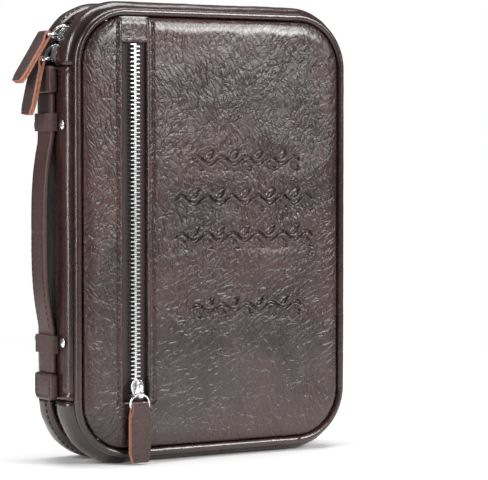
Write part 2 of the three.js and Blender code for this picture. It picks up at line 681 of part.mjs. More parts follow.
// A leather tab folded round the ring's bar, with notches for the ring's legs.
const fold = RING_WIRE / 2 + CLEARANCE + PULL_LEATHER; // from the ring's bar out to the tab's folded end
function pull(across, down, bar) {
  const half = PULL_THICKNESS / 2;
  const meet = Math.sqrt(fold * fold - half * half);
  const angle = Math.atan2(meet, half);
  const through = new THREE.Vector3().crossVectors(across, down);
  const profile = new THREE.Shape();
  profile.moveTo(half, PULL_LENGTH);
  profile.lineTo(-half, PULL_LENGTH);
  profile.absarc(0, 0, fold, Math.PI - angle, 2 * Math.PI + angle, false);
  profile.closePath();
  profile.holes.push(roundHole(0, 0, RING_WIRE * 0.71 + CLEARANCE));
  const loopHalf = RING_WIDTH / 2 - RING_WIRE - CLEARANCE;
  const loop = slab(profile, through, down, bar, -loopHalf, loopHalf, 4);
  const w = PULL_WIDTH / 2;
  const [top, shoulder] = [fold + 0.4, PULL_LENGTH - PULL_CORNER];
  const tongue = flat([
    [-w, top], [w, top], [w, shoulder], [w - PULL_CORNER, PULL_LENGTH],
    [-w + PULL_CORNER, PULL_LENGTH], [-w, shoulder],
  ]);
  return join(loop, slab(tongue, across, down, bar, -half, half));
}

// hang gives the way that the tab hangs from the place of the ring's bar.
function zipPull(name, across, along, out, origin, ringDown, hang) {
  add(`${name}_slider`, slider(across, along, out, origin), STEEL);
  const pivot = origin.clone().addScaledVector(along, -BAIL_BACK).addScaledVector(out, BAIL_OUT);
  add(`${name}_ring`, ring(across, ringDown, pivot), STEEL);
  const bar = pivot.clone().addScaledVector(ringDown, RING_LENGTH);
  const tabDown = hang(bar);
  add(`${name}_pull`, pull(across, tabDown, bar), EDGE_LEATHER);
  return { pivot, bar, tabDown };
}

// The pocket slider's plate runs just in front of the chain.
const down = AXIS_Z.clone().negate();
const pocket = zipPull('pocket', AXIS_X, AXIS_Z, AXIS_Y.clone().negate(),
  new THREE.Vector3(POCKET_X, -(pocketChainFront + CLEARANCE), pocketSliderZ), down, () => down);

// The two main sliders sit on the upper spine corner, one close above the other.
const zipCentre = new THREE.Vector3(-cornerX, 0, spineTop);
const sliderRadius = CORNER_RADIUS + chainTop + CLEARANCE;
const lowerAngle = Math.asin((SLIDER_LENGTH / 2 + SLIDER_RISE) / sliderRadius);
const upperAngle = lowerAngle + 2 * Math.asin((SLIDER_LENGTH + SLIDER_GAP) / (2 * sliderRadius));
function cornerSlider(name, a, ringDown, hang) {
  const out = new THREE.Vector3(-Math.cos(a), 0, Math.sin(a));
  const along = new THREE.Vector3(Math.sin(a), 0, Math.cos(a));
  const across = new THREE.Vector3().crossVectors(along, out);
  const origin = zipCentre.clone().addScaledVector(out, sliderRadius);
  return zipPull(name, across, along, out, origin, ringDown, hang);
}
// A tab hangs straight down from its bar, or leans out as far as these make it: its middle line
// passes outside a point at this distance, and it leans at least at the angle least.
function leaningPast(point, distance, least) {
  return (bar) => {
    const away = point.clone().sub(bar).setY(0);
    const turn = Math.asin(Math.min(1, distance / away.length()));
    const lean = Math.max(least, leanOf(away) + turn);
    return new THREE.Vector3(-Math.sin(lean), 0, -Math.cos(lean));
  };
}

function leanOf(direction) {
  return Math.atan2(-direction.x, -direction.z);
}

const stopperFace = strapBackX - STRAP_THICKNESS - STOPPER_EXTRA;
const stopperCorner = new THREE.Vector3(stopperFace, 0, middleZ + stopperUp + STOPPER_LENGTH);
const lowerRingDown = new THREE.Vector3(-0.97, 0, -0.24).normalize();
const upperRingDown = new THREE.Vector3(-1, 0, -0.02).normalize();
const lower = cornerSlider('lower', lowerAngle, lowerRingDown,
  leaningPast(stopperCorner, PULL_THICKNESS / 2 + PULL_STOPPER_GAP, 0));
const upper = cornerSlider('upper', upperAngle, upperRingDown,
  leaningPast(lower.bar, fold + PULL_THICKNESS / 2 + PULL_GAP, leanOf(lower.tabDown)));

// ---- the group's origin: the bottom centre of its box --------------------------------------------
group.updateMatrixWorld(true);
const box = new THREE.Box3().setFromObject(group, true);
const shift = new THREE.Vector3(-(box.min.x + box.max.x) / 2, -(box.min.y + box.max.y) / 2, -box.min.z);
group.position.copy(shift);
group.updateMatrixWorld(true);

// The points that the joints turn about, in the group's own frame.
group.userData.places = {
  shift,
  frontHinge: new THREE.Vector3(hingeX, -pipingDepth, middleZ).add(shift),
  backHinge: new THREE.Vector3(hingeX, pipingDepth, middleZ).add(shift),
  cornerCentre: zipCentre.clone().add(shift),
  upperPivot: upper.pivot.clone().add(shift),
  lowerPivot: lower.pivot.clone().add(shift),
  pocketPivot: pocket.pivot.clone().add(shift),
};

export default group;
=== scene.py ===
import json
import math

import bmesh
import bpy
import numpy as np
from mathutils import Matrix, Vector


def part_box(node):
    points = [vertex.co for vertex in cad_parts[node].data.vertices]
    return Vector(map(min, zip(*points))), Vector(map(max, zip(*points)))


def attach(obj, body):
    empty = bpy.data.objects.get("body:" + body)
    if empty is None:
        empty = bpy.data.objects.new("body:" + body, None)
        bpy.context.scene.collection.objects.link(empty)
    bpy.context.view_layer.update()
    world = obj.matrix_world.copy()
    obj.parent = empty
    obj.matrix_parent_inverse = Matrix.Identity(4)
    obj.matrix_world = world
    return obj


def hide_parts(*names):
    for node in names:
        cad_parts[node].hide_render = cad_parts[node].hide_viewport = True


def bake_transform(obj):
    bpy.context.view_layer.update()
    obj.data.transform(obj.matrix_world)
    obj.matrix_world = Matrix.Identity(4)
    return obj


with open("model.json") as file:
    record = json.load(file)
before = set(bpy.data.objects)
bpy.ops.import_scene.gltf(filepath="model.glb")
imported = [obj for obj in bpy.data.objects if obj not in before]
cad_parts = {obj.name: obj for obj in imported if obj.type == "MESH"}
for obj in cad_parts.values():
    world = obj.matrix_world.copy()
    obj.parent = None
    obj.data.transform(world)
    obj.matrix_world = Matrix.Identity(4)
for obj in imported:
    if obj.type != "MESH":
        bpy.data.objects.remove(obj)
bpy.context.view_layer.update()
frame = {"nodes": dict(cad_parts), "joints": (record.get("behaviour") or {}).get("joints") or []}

# ---- sizes, from the frame ----------------------------------------------------------------------
MM = 0.001


def box_mm(node):
    low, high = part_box(node)
    return np.array(low) / MM, np.array(high) / MM


panel_low, panel_high = box_mm("back_panel")
front_pipe_low, _ = box_mm("front_piping")
_, back_pipe_high = box_mm("back_piping")
gusset_low, gusset_high = box_mm("back_gusset")
SHIFT = np.array([(panel_low[0] + panel_high[0]) / 2, (front_pipe_low[1] + back_pipe_high[1]) / 2, 0.0])


def case_box(node):
    low, high = box_mm(node)
    return low - SHIFT, high - SHIFT


def joint_place(name):
    joint = next(j for j in frame["joints"] if j["name"] == name)
    return np.array(joint["pos_m"]) / MM - SHIFT


HALF_WIDTH = (panel_high[0] - panel_low[0]) / 2
HALF_HEIGHT = (panel_high[2] - panel_low[2]) / 2
MIDDLE_Z = (panel_high[2] + panel_low[2]) / 2
CORNER_CENTRE = joint_place("upper_slider_run")
CORNER_X = -CORNER_CENTRE[0]
CORNER_Z = CORNER_CENTRE[2] - MIDDLE_Z
RADIUS = HALF_WIDTH - CORNER_X
FACE_DEPTH = case_box("back_panel")[1][1]
PANEL_BACK = case_box("back_panel")[0][1]
PIPE_LOW, PIPE_HIGH = case_box("back_piping")
PIPE_DEPTH = (PIPE_LOW[1] + PIPE_HIGH[1]) / 2
PIPE_OUT = 2.6
PIPE_RADIUS = 2.2
SPINE_TOP = MIDDLE_Z + CORNER_Z
SPINE_BOTTOM = MIDDLE_Z - CORNER_Z
TAPE_OUT = 1.3
CHAIN_OUT = 2.0
CHAIN_TOP = 4.4
TOOTH_PITCH = 2.4
BLEND_X = -30.0


def place(points):
    return (np.asarray(points, float).reshape(-1, 3) + SHIFT) * MM


def place_one(x, y, z):
    return tuple(place([[x, y, z]])[0])


# ---- camera -------------------------------------------------------------------------------------
PICTURE_WIDTH = 488
FOCAL_PIXELS = 2250
SENSOR = 36.0
TURN = math.radians(31)
TILT = math.radians(-2.4)
EYE = (-649.0, -1137.0, 179.0)


def make_camera():
    camera = bpy.data.objects.new("camera", bpy.data.cameras.new("camera"))
    bpy.context.scene.collection.objects.link(camera)
    camera.data.sensor_width = SENSOR
    camera.data.lens = FOCAL_PIXELS / PICTURE_WIDTH * SENSOR
    camera.data.clip_end = 50
    forward = Vector((math.sin(TURN) * math.cos(TILT), math.cos(TURN) * math.cos(TILT), math.sin(TILT)))
    camera.rotation_euler = forward.to_track_quat("-Z", "Y").to_euler()
    camera.location = place_one(*EYE)
    bpy.context.scene.camera = camera


make_camera()


# ---- stage and light ----------------------------------------------------------------------------
def area_light(name, where, aim, size, power, colour=(1, 1, 1)):
    data = bpy.data.lights.new(name, "AREA")
    data.shape = "RECTANGLE"
    data.size, data.size_y = size
    data.energy = power
    data.color = colour
    lamp = bpy.data.objects.new(name, data)
    bpy.context.scene.collection.objects.link(lamp)
    lamp.location = where
    lamp.rotation_euler = (Vector(aim) - Vector(where)).to_track_quat("-Z", "Y").to_euler()


WORLD_LIGHT = 0.17  # what the white surroundings give, beside what the camera sees of them


def make_stage():
    """A white floor that fades into a white background, under soft lights."""
    bpy.ops.mesh.primitive_circle_add(vertices=96, radius=3.0, fill_type="NGON", location=(0, 0, 0))
    floor = bpy.context.object
    floor.name = "floor"
    m = bpy.data.materials.new("floor_paper")
    m.use_nodes = True
    tree = m.node_tree
    surface = tree.nodes["Principled BSDF"]
    surface.inputs["Base Color"].default_value = (0.95, 0.95, 0.95, 1)
    surface.inputs["Roughness"].default_value = 0.6
    place_node = tree.nodes.new("ShaderNodeTexCoord")
    reach = tree.nodes.new("ShaderNodeVectorMath")
    reach.operation = "LENGTH"
    tree.links.new(place_node.outputs["Object"], reach.inputs[0])
    fade = tree.nodes.new("ShaderNodeMapRange")
    fade.interpolation_type = "SMOOTHSTEP"
    fade.inputs["From Min"].default_value = 0.25
    fade.inputs["From Max"].default_value = 0.95
    fade.inputs["To Min"].default_value = 1.0
    fade.inputs["To Max"].default_value = 0.0
    tree.links.new(reach.outputs["Value"], fade.inputs["Value"])
    tree.links.new(fade.outputs["Result"], surface.inputs["Alpha"])
    floor.data.materials.append(m)

    world = bpy.data.worlds.new("studio")
    bpy.context.scene.world = world
    world.use_nodes = True
    tree = world.node_tree
    sky = tree.nodes["Background"]
    sky.inputs["Color"].default_value = (1, 1, 1, 1)
    ray = tree.nodes.new("ShaderNodeLightPath")
    strength = tree.nodes.new("ShaderNodeMapRange")
    strength.inputs["To Min"].default_value = WORLD_LIGHT
    strength.inputs["To Max"].default_value = 1.0
    tree.links.new(ray.outputs["Is Camera Ray"], strength.inputs["Value"])
    tree.links.new(strength.outputs["Result"], sky.inputs["Strength"])
    middle = (0, 0, 0.13)
    area_light("key", (0.95, -1.35, 0.95), middle, (0.5, 0.8), 22)
    area_light("side", (-1.5, -0.35, 0.7), middle, (0.3, 1.5), 22)
    area_light("top", (0.1, 0.2, 1.6), middle, (1.4, 0.7), 24)
    area_light("gloss", (0.66, -1.3, 0.62), (0, 0, 0.2), (0.6, 0.3), 9)


make_stage()
bpy.context.scene.view_settings.view_transform = "Standard"


# ---- materials ----------------------------------------------------------------------------------
class Nodes:
    """A material's node tree, with short calls for the nodes that the finishes share."""

    def __init__(self, name):
        self.material = bpy.data.materials.new(name)
        self.material.use_nodes = True
        self.tree = self.material.node_tree
        self.surface = self.tree.nodes["Principled BSDF"]
        coordinates = self.tree.nodes.new("ShaderNodeTexCoord")
        self.place = coordinates.outputs["Object"]

    def add(self, kind, inputs=(), **settings):
        node = self.tree.nodes.new(kind)
        for key, value in settings.items():
            setattr(node, key, value)
        for key, value in dict(inputs).items():
            if isinstance(value, bpy.types.NodeSocket):
                self.tree.links.new(value, node.inputs[key])
            else:
                node.inputs[key].default_value = value
        return node

    def link(self, value, socket):
        self.tree.links.new(value, self.surface.inputs[socket])

    def set(self, **values):
        for key, value in values.items():
            self.surface.inputs[key.replace("_", " ")].default_value = value

    def noise(self, scale, detail=3.0, rough=0.5, distortion=0.0, vector=None):
        return self.add("ShaderNodeTexNoise", {
            "Vector": vector or self.place, "Scale": scale, "Detail": detail,
            "Roughness": rough, "Distortion": distortion}).outputs["Fac"]

    def cells(self, scale, feature="DISTANCE_TO_EDGE", vector=None, randomness=1.0):
        return self.add("ShaderNodeTexVoronoi", {
            "Vector": vector or self.place, "Scale": scale, "Randomness": randomness},
            feature=feature).outputs["Distance"]

    def ramp(self, value, *stops):
        node = self.add("ShaderNodeValToRGB", {"Fac": value})
        ramp = node.color_ramp
        while len(ramp.elements) < len(stops):
            ramp.elements.new(0.5)
        for element, (at, colour) in zip(ramp.elements, stops):
            element.position = at
            element.color = (*colour, 1) if len(colour) == 3 else colour
        return node.outputs["Color"]

    def grey(self, value, *stops):
        return self.ramp(value, *[(at, (v, v, v)) for at, v in stops])

    def mix(self, factor, a, b, blend="MIX"):
        return self.add("ShaderNodeMix", {0: factor, 6: a, 7: b}, data_type="RGBA",
                        blend_type=blend).outputs[2]

    def maths(self, operation, a, b=0.0):
        return self.add("ShaderNodeMath", {0: a, 1: b}, operation=operation).outputs[0]

    def warped(self, amount, scale):
        wobble = self.add("ShaderNodeTexNoise", {"Vector": self.place, "Scale": scale, "Detail": 2.0})
        centred = self.add("ShaderNodeVectorMath", {0: wobble.outputs["Color"], 1: (0.5, 0.5, 0.5)},
                           operation="SUBTRACT")
        scaled = self.add("ShaderNodeVectorMath", {0: centred.outputs[0], "Scale": amount},
                          operation="SCALE")
        return self.add("ShaderNodeVectorMath", {0: self.place, 1: scaled.outputs[0]},
                        operation="ADD").outputs[0]

    def streaks(self, vector, turn, scale, stretch):
        """Cell edges drawn out along a slanting direction in the covers' plane."""
        turned = self.add("ShaderNodeMapping", {"Vector": vector, "Rotation": (0.0, turn, 0.0)}).outputs[0]
        drawn = self.add("ShaderNodeMapping", {"Vector": turned, "Scale": (1.0, 1.0, stretch)}).outputs[0]
        return self.cells(scale, vector=drawn)

    def bump(self, *heights):
        """Each height is (value, strength, distance in metres)."""
        normal = None
        for value, strength, distance in heights:
            inputs = {"Height": value, "Strength": strength, "Distance": distance}
            if normal:
                inputs["Normal"] = normal
            normal = self.add("ShaderNodeBump", inputs).outputs["Normal"]
        self.link(normal, "Normal")


def leather(name, dark, light, wrinkle=0.5, grain=0.35, rough=(0.24, 0.40), cell=260.0, coat=0.25):
    """Glossy creased leather: long fine creases that cross, with fine grain between them; the creases are
    darkened with painted shade.
    """
    n = Nodes(name)
    bent = n.warped(0.009, 60.0)
    steep = n.streaks(bent, 0.55, cell, 0.26)
    flat = n.streaks(bent, -0.85, cell * 0.8, 0.30)
    where = n.grey(n.noise(16.0, 2.0, 0.5), (0.40, 0.0), (0.60, 1.0))
    steep_height = n.grey(steep, (0.0, 0.0), (0.10, 0.8), (0.45, 1.0))
    flat_height = n.grey(flat, (0.0, 0.0), (0.10, 0.8), (0.45, 1.0))
    crease_height = n.mix(where, flat_height, steep_height)
    fine = n.cells(cell * 3.6, vector=n.warped(0.0012, 700.0))
    fine_height = n.grey(fine, (0.0, 0.0), (0.35, 0.9), (0.8, 1.0))
    folds = n.noise(70.0, 4.0, 0.55, 1.2)
    patches = n.noise(20.0, 3.0, 0.5)
    colour = n.mix(n.grey(patches, (0.35, 0.0), (0.7, 1.0)), (*dark, 1), (*light, 1))
    # painted shade: the bottoms of the creases are darkened toward half the dark tone, where shade would
    # fall
    deep = tuple(c * 0.5 for c in dark)
    colour = n.mix(n.grey(n.mix(where, flat, steep), (0.0, 0.55), (0.10, 0.0)), colour, (*deep, 1))
    n.link(colour, "Base Color")
    n.link(n.grey(n.maths("ADD", n.maths("MULTIPLY", folds, 0.5), n.maths("MULTIPLY", patches, 0.5)),
                  (0.35, rough[0]), (0.65, rough[1])), "Roughness")
    n.bump((folds, wrinkle, 0.0014), (crease_height, wrinkle, 0.0005), (fine_height, grain, 0.00022))
    n.set(IOR=1.5, Coat_Weight=coat, Coat_Roughness=0.18)
    return n.material


def cut_edge(name):
    """The raw edge of split leather: tan, fibrous and matt."""
    n = Nodes(name)
    fibre = n.noise(900.0, 4.0, 0.6)
    colour = n.mix(n.grey(fibre, (0.3, 0.0), (0.7, 1.0)), (0.22, 0.085, 0.05, 1), (0.42, 0.19, 0.12, 1))
    n.link(colour, "Base Color")
    n.link(n.grey(fibre, (0.2, 0.7), (0.8, 0.9)), "Roughness")
    n.bump((fibre, 0.5, 0.0003))
    return n.material


def metal(name, tint=(0.82, 0.82, 0.83), rough=0.16):
    """Bright plated metal with faint wear and hairlines."""
    n = Nodes(name)
    wear = n.noise(420.0, 3.0, 0.6)
    n.link(n.mix(n.grey(wear, (0.35, 0.0), (0.75, 1.0)), (*tint, 1), (*[c * 0.8 for c in tint], 1)),
           "Base Color")
    n.link(n.grey(wear, (0.3, rough), (0.8, rough + 0.14)), "Roughness")
    n.bump((n.noise(1500.0, 2.0, 0.5), 0.12, 0.0001))
    n.set(Metallic=1.0)
    return n.material


def twill(name, dark, light, scale=900.0):
    """Woven tape: fine diagonal ribs crossed by single threads."""
    n = Nodes(name)
    turn = n.add("ShaderNodeMapping", {"Vector": n.place, "Rotation": (0.6, 0.75, 0.4)})
    ribs = n.add("ShaderNodeTexWave",
                 {"Vector": turn.outputs[0], "Scale": scale, "Distortion": 0.4,
                  "Detail": 1.0}).outputs["Fac"]
    threads = n.noise(2600.0, 2.0, 0.6)
    n.link(n.mix(ribs, (*dark, 1), (*light, 1)), "Base Color")
    n.link(n.grey(threads, (0.3, 0.75), (0.8, 0.92)), "Roughness")
    n.bump((ribs, 0.6, 0.0003), (threads, 0.3, 0.00015))
    n.set(Sheen_Weight=0.25)
    return n.material


def thread(name, colour):
    """Twisted sewing thread with a slight gloss."""
    n = Nodes(name)
    strands = n.add("ShaderNodeTexWave", {"Vector": n.place, "Scale": 2200.0, "Distortion": 1.0},
                    bands_direction="DIAGONAL").outputs["Fac"]
    n.link(n.mix(strands, (*[c * 0.6 for c in colour], 1), (*colour, 1)), "Base Color")
    n.link(n.grey(strands, (0.0, 0.5), (1.0, 0.65)), "Roughness")
    n.bump((strands, 0.5, 0.0002))
    return n.material


def paper_edges(name):
    """A block of thin pages: fine layers seen on its edges."""
    n = Nodes(name)
    squeeze = n.add("ShaderNodeMapping", {"Vector": n.place, "Scale": (90.0, 3200.0, 90.0)})
    leaves = n.add("ShaderNodeTexNoise",
                   {"Vector": squeeze.outputs[0], "Scale": 1.0, "Detail": 2.0}).outputs["Fac"]
    n.link(n.mix(n.grey(leaves, (0.35, 0.0), (0.65, 1.0)), (0.70, 0.65, 0.55, 1), (0.84, 0.80, 0.71, 1)),
           "Base Color")
    n.link(n.grey(leaves, (0.2, 0.75), (0.8, 0.9)), "Roughness")
    n.bump((leaves, 0.35, 0.0003))
    return n.material


def film(name):
    """Clear plastic film over a pale card, slightly rippled."""
    n = Nodes(name)
    ripple = n.noise(60.0, 3.0, 0.5)
    n.link(n.mix(n.grey(ripple, (0.3, 0.0), (0.7, 1.0)), (0.62, 0.55, 0.4, 1), (0.72, 0.66, 0.5, 1)),
           "Base Color")
    n.link(n.grey(ripple, (0.3, 0.12), (0.7, 0.22)), "Roughness")
    n.bump((ripple, 0.3, 0.0008))
    n.set(Coat_Weight=0.6, Coat_Roughness=0.05)
    return n.material


CASE = leather("case_leather_finish", (0.017, 0.0052, 0.0056), (0.046, 0.0150, 0.0140), wrinkle=0.5,
               grain=0.25,
               rough=(0.21, 0.34), cell=400.0, coat=0.4)
SMOOTH = leather("gusset_leather_finish", (0.016, 0.0050, 0.0054), (0.038, 0.0125, 0.0120), wrinkle=0.14,
                 grain=0.14,
                 rough=(0.2, 0.32), cell=300.0, coat=0.4)
STRAP = leather("strap_leather_finish", (0.040, 0.0175, 0.0170), (0.068, 0.030, 0.028), wrinkle=0.25,
                grain=0.35,
                rough=(0.34, 0.48), cell=420.0, coat=0.08)
CUT = leather("cut_leather_finish", (0.040, 0.0195, 0.0190), (0.075, 0.038, 0.036), wrinkle=0.35, grain=0.6,
              rough=(0.42, 0.58), cell=600.0, coat=0.0)
TAN = cut_edge("cut_edge_finish")
STEEL = metal("silver_metal_finish")
TEETH = metal("zip_teeth_finish", rough=0.24)
TAPE = twill("zip_tape_finish", (0.020, 0.012, 0.012), (0.045, 0.028, 0.028))
THREAD = thread("thread_finish", (0.055, 0.030, 0.028))
LINING = twill("lining_finish", (0.16, 0.055, 0.036), (0.22, 0.085, 0.055), 700.0)
INNER = leather("pocket_leather_finish", (0.125, 0.040, 0.026), (0.19, 0.066, 0.042), wrinkle=0.2,
                grain=0.3,
                rough=(0.5, 0.62), coat=0.0)
PAPER = paper_edges("paper_finish")
BLACK = leather("bible_leather_finish", (0.010, 0.008, 0.008), (0.020, 0.016, 0.016), wrinkle=0.15,
                grain=0.5, cell=900.0)
RIBBON = twill("ribbon_finish", (0.18, 0.014, 0.018), (0.28, 0.025, 0.03), 1500.0)
BOARD = paper_edges("stiffener_finish")
FILM = film("clear_film_finish")


# ---- mesh building ------------------------------------------------------------------------------
def new_object(name, vertices, faces, materials, smooth=True):
    mesh = bpy.data.meshes.new(name)
    mesh.from_pydata([tuple(v) for v in place(vertices)], [], [tuple(int(i) for i in f) for f in faces])
    mesh.validate()
    for m in materials:
        mesh.materials.append(m)
    for polygon in mesh.polygons:
        polygon.use_smooth = smooth
    obj = bpy.data.objects.new(name, mesh)
    bpy.context.scene.collection.objects.link(obj)
    return obj


def grid_faces(rows, columns, wrap_rows=False, wrap_columns=False, first=0):
    r = np.arange(rows if wrap_rows else rows - 1)
    c = np.arange(columns if wrap_columns else columns - 1)
    a, b = np.meshgrid(r, c, indexing="ij")
    a1, b1 = (a + 1) % rows, (b + 1) % columns
    quad = np.stack([a * columns + b, a1 * columns + b, a1 * columns + b1, a * columns + b1], -1)
    return (quad.reshape(-1, 4) + first).tolist()


def facing(obj):
    """Turns the faces of a closed mesh outwards."""
    bm = bmesh.new()
    bm.from_mesh(obj.data)
    bmesh.ops.recalc_face_normals(bm, faces=bm.faces)
    bm.to_mesh(obj.data)
    bm.free()
    return obj


def tube(name, points, materials, closed=False, smooth=True):
    """points is rows of closed sections: a ring when closed, else capped at both ends."""
    points = np.asarray(points, float)
    rows, columns = points.shape[:2]
    faces = grid_faces(rows, columns, closed, True)
    if not closed:
        faces += [list(range(columns))[::-1], list(range((rows - 1) * columns, rows * columns))]
    return facing(new_object(name, points.reshape(-1, 3), faces, materials, smooth))


def sharpen(obj, angle=40):
    """Keeps hard edges crisp where smooth faces meet at more than this angle."""
    bm = bmesh.new()
    bm.from_mesh(obj.data)
    for edge in bm.edges:
        if len(edge.link_faces) == 2:
            edge.smooth = edge.calc_face_angle(0) < math.radians(angle)
    bm.to_mesh(obj.data)
    bm.free()
    return obj


def rounded(obj, width, segments=2, levels=0, angle=30):
    """Bevels the hard edges and applies it, with optional subdivision."""
    bpy.context.view_layer.objects.active = obj
    bevel = obj.modifiers.new("bevel", "BEVEL")
    bevel.width = width * MM
    bevel.segments = segments
    bevel.limit_method = "ANGLE"
    bevel.angle_limit = math.radians(angle)
    bevel.harden_normals = False
    if levels:
        smooth = obj.modifiers.new("subdivision", "SUBSURF")
        smooth.levels = smooth.render_levels = levels
    apply_modifiers(obj)
    return obj


def apply_modifiers(obj):
    graph = bpy.context.evaluated_depsgraph_get()
    mesh = bpy.data.meshes.new_from_object(obj.evaluated_get(graph))
    obj.modifiers.clear()
    obj.data = mesh


def merged(name, objects):
    """Joins several objects into one, keeping each one's materials."""
    bpy.ops.object.select_all(action="DESELECT")
    for obj in objects:
        obj.select_set(True)
    bpy.context.view_layer.objects.active = objects[0]
    bpy.ops.object.join()
    objects[0].name = name
    objects[0].data.name = name
    return objects[0]


def done(obj, body, slot, *nodes, blend=None, pad=None):
    """Gives a finished piece its body and hides the CAD nodes that it stands for; slot is not used."""
    if blend:
        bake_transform(obj)
    else:
        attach(obj, body)
    if nodes:
        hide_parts(*nodes)
    return obj


def smoothstep(x, a, b):
    t = np.clip((x - a) / (b - a), 0, 1)
    return t * t * (3 - 2 * t)


# ---- the outline that the covers, piping, gussets and zip follow ---------------------------------
def corner_points(side_x, side_z, start, stop, step):
    count = max(4, round(RADIUS * math.radians(abs(stop - start)) / step))
    a = np.radians(np.linspace(start, stop, count + 1))
    x = side_x * CORNER_X + RADIUS * np.cos(a)
    z = MIDDLE_Z + side_z * CORNER_Z + RADIUS * np.sin(a)
    return np.stack([x, z, np.cos(a), np.sin(a)], -1)


def straight_points(start, stop, normal, step):
    count = max(1, round(np.hypot(*(np.subtract(stop, start))) / step))
    t = np.linspace(0, 1, count + 1)[:, None]
    xz = np.array(start) * (1 - t) + np.array(stop) * t
    return np.hstack([xz, np.tile(normal, (count + 1, 1))])


def outline(*stretches):
    """Rows of x, z and the outward normal, with no row repeated where stretches meet."""
    rows = [stretches[0]]
    for s in stretches[1:]:
        rows.append(s[1:] if np.allclose(rows[-1][-1][:2], s[0][:2]) else s)
    return np.vstack(rows)


TOP = MIDDLE_Z + HALF_HEIGHT
BOTTOM = MIDDLE_Z - HALF_HEIGHT


def upper_end(step):
    return outline(corner_points(-1, 1, 180, 90, step),
                   straight_points((-CORNER_X, TOP), (BLEND_X, TOP), (0, 1), step))


def lower_end(step):
    return outline(straight_points((BLEND_X, BOTTOM), (-CORNER_X, BOTTOM), (0, -1), step),
                   corner_points(-1, -1, 270, 180, step))


def cover_stretch(step):
    return outline(straight_points((BLEND_X, TOP), (CORNER_X, TOP), (0, 1), step),
                   corner_points(1, 1, 90, 0, step),
                   straight_points((HALF_WIDTH, SPINE_TOP), (HALF_WIDTH, SPINE_BOTTOM), (1, 0), step),
                   corner_points(1, -1, 360, 270, step),
                   straight_points((CORNER_X, BOTTOM), (BLEND_X, BOTTOM), (0, -1), step))


def whole_loop(step):
    loop = outline(corner_points(-1, 1, 180, 90, step),
                   straight_points((-CORNER_X, TOP), (CORNER_X, TOP), (0, 1), step),
                   corner_points(1, 1, 90, 0, step),
                   straight_points((HALF_WIDTH, SPINE_TOP), (HALF_WIDTH, SPINE_BOTTOM), (1, 0), step),
                   corner_points(1, -1, 360, 270, step),
                   straight_points((CORNER_X, BOTTOM), (-CORNER_X, BOTTOM), (0, -1), step),
                   corner_points(-1, -1, 270, 180, step),
                   straight_points((-HALF_WIDTH, SPINE_BOTTOM), (-HALF_WIDTH, SPINE_TOP), (-1, 0), step))
    return loop[:-1]


def along(path, section, wobble=None):
    """Carries a section of (out, depth) pairs along the outline: rows of points in the case's frame."""
    section = np.asarray(section, float)
    out = section[None, :, 0]
    if wobble is not None:
        out = out + wobble
    x = path[:, None, 0] + path[:, None, 2] * out
    z = path[:, None, 1] + path[:, None, 3] * out
    y = np.broadcast_to(section[None, :, 1], x.shape)
    return np.stack([x, y, z], -1)


def curve_through(points, steps, closed=False):
    """A smooth curve through a few points: Catmull-Rom, steps to each stretch."""
    p = np.asarray(points, float)
    n = len(p)
    out = []
    for i in range(n if closed else n - 1):
        if closed:
            a, b, c, d = p[(i - 1) % n], p[i], p[(i + 1) % n], p[(i + 2) % n]
        else:
            a, b, c, d = p[max(i - 1, 0)], p[i], p[i + 1], p[min(i + 2, n - 1)]
        for t in np.arange(steps) / steps:
            out.append(0.5 * ((2 * b) + (c - a) * t + (2 * a - 5 * b + 4 * c - d) * t ** 2
                              + (3 * b - a - 3 * c + d) * t ** 3))
    if not closed:
        out.append(p[-1])
    return np.array(out)


# ---- leather surface: noise on a flat sheet, in millimetres ---------------------------------------
def lattice(i, j, seed):
    """A repeatable random number from 0 to 1 for each whole-numbered place."""
    h = (i.astype(np.int64) * 374761393 + j.astype(np.int64) * 668265263 + seed * 69069) & 0xFFFFFFFF
    h = ((h ^ (h >> 13)) * 1274126177) & 0xFFFFFFFF
    return ((h ^ (h >> 16)) & 0xFFFFFF) / float(0xFFFFFF)


def soft_noise(x, y, seed=0):
    """Gradient noise from -1 to 1, with features one unit across."""
    i, j = np.floor(x), np.floor(y)
    u, v = x - i, y - j
    total = 0
    for di in (0, 1):
        for dj in (0, 1):
            a = 2 * math.pi * lattice(i + di, j + dj, seed)
            dot = np.cos(a) * (u - di) + np.sin(a) * (v - dj)
            su, sv = u * u * u * (u * (u * 6 - 15) + 10), v * v * v * (v * (v * 6 - 15) + 10)
            total = total + dot * (su if di else 1 - su) * (sv if dj else 1 - sv)
    return total * 1.5


def cell_edges(x, y, seed=0):
    """0 on the edges between random cells one unit across, rising towards their middles."""
    i, j = np.floor(x), np.floor(y)
    first = np.full(np.shape(x), 9.0)
    second = first.copy()
    for di in (-1, 0, 1):
        for dj in (-1, 0, 1):
            px = i + di + lattice(i + di, j + dj, seed)
            py = j + dj + lattice(i + di, j + dj, seed + 17)
            d = np.hypot(x - px, y - py)
            second = np.minimum(second, np.maximum(first, d))
            first = np.minimum(first, d)
    return second - first


def crease_layer(x, y, angle, length, width, seed):
    """Long creases that run at an angle in degrees: 0 in a crease and 1 between creases."""
    a = math.radians(angle)
    wx = x + 0.45 * width * soft_noise(x / (1.6 * width), y / (1.6 * width), seed)
    wy = y + 0.45 * width * soft_noise(x / (1.6 * width) + 40, y / (1.6 * width), seed)
    u = (wx * math.cos(a) + wy * math.sin(a)) / length
    v = (wy * math.cos(a) - wx * math.sin(a)) / width
    return np.clip(cell_edges(u, v, seed) / 0.42, 0, 1) ** 0.8


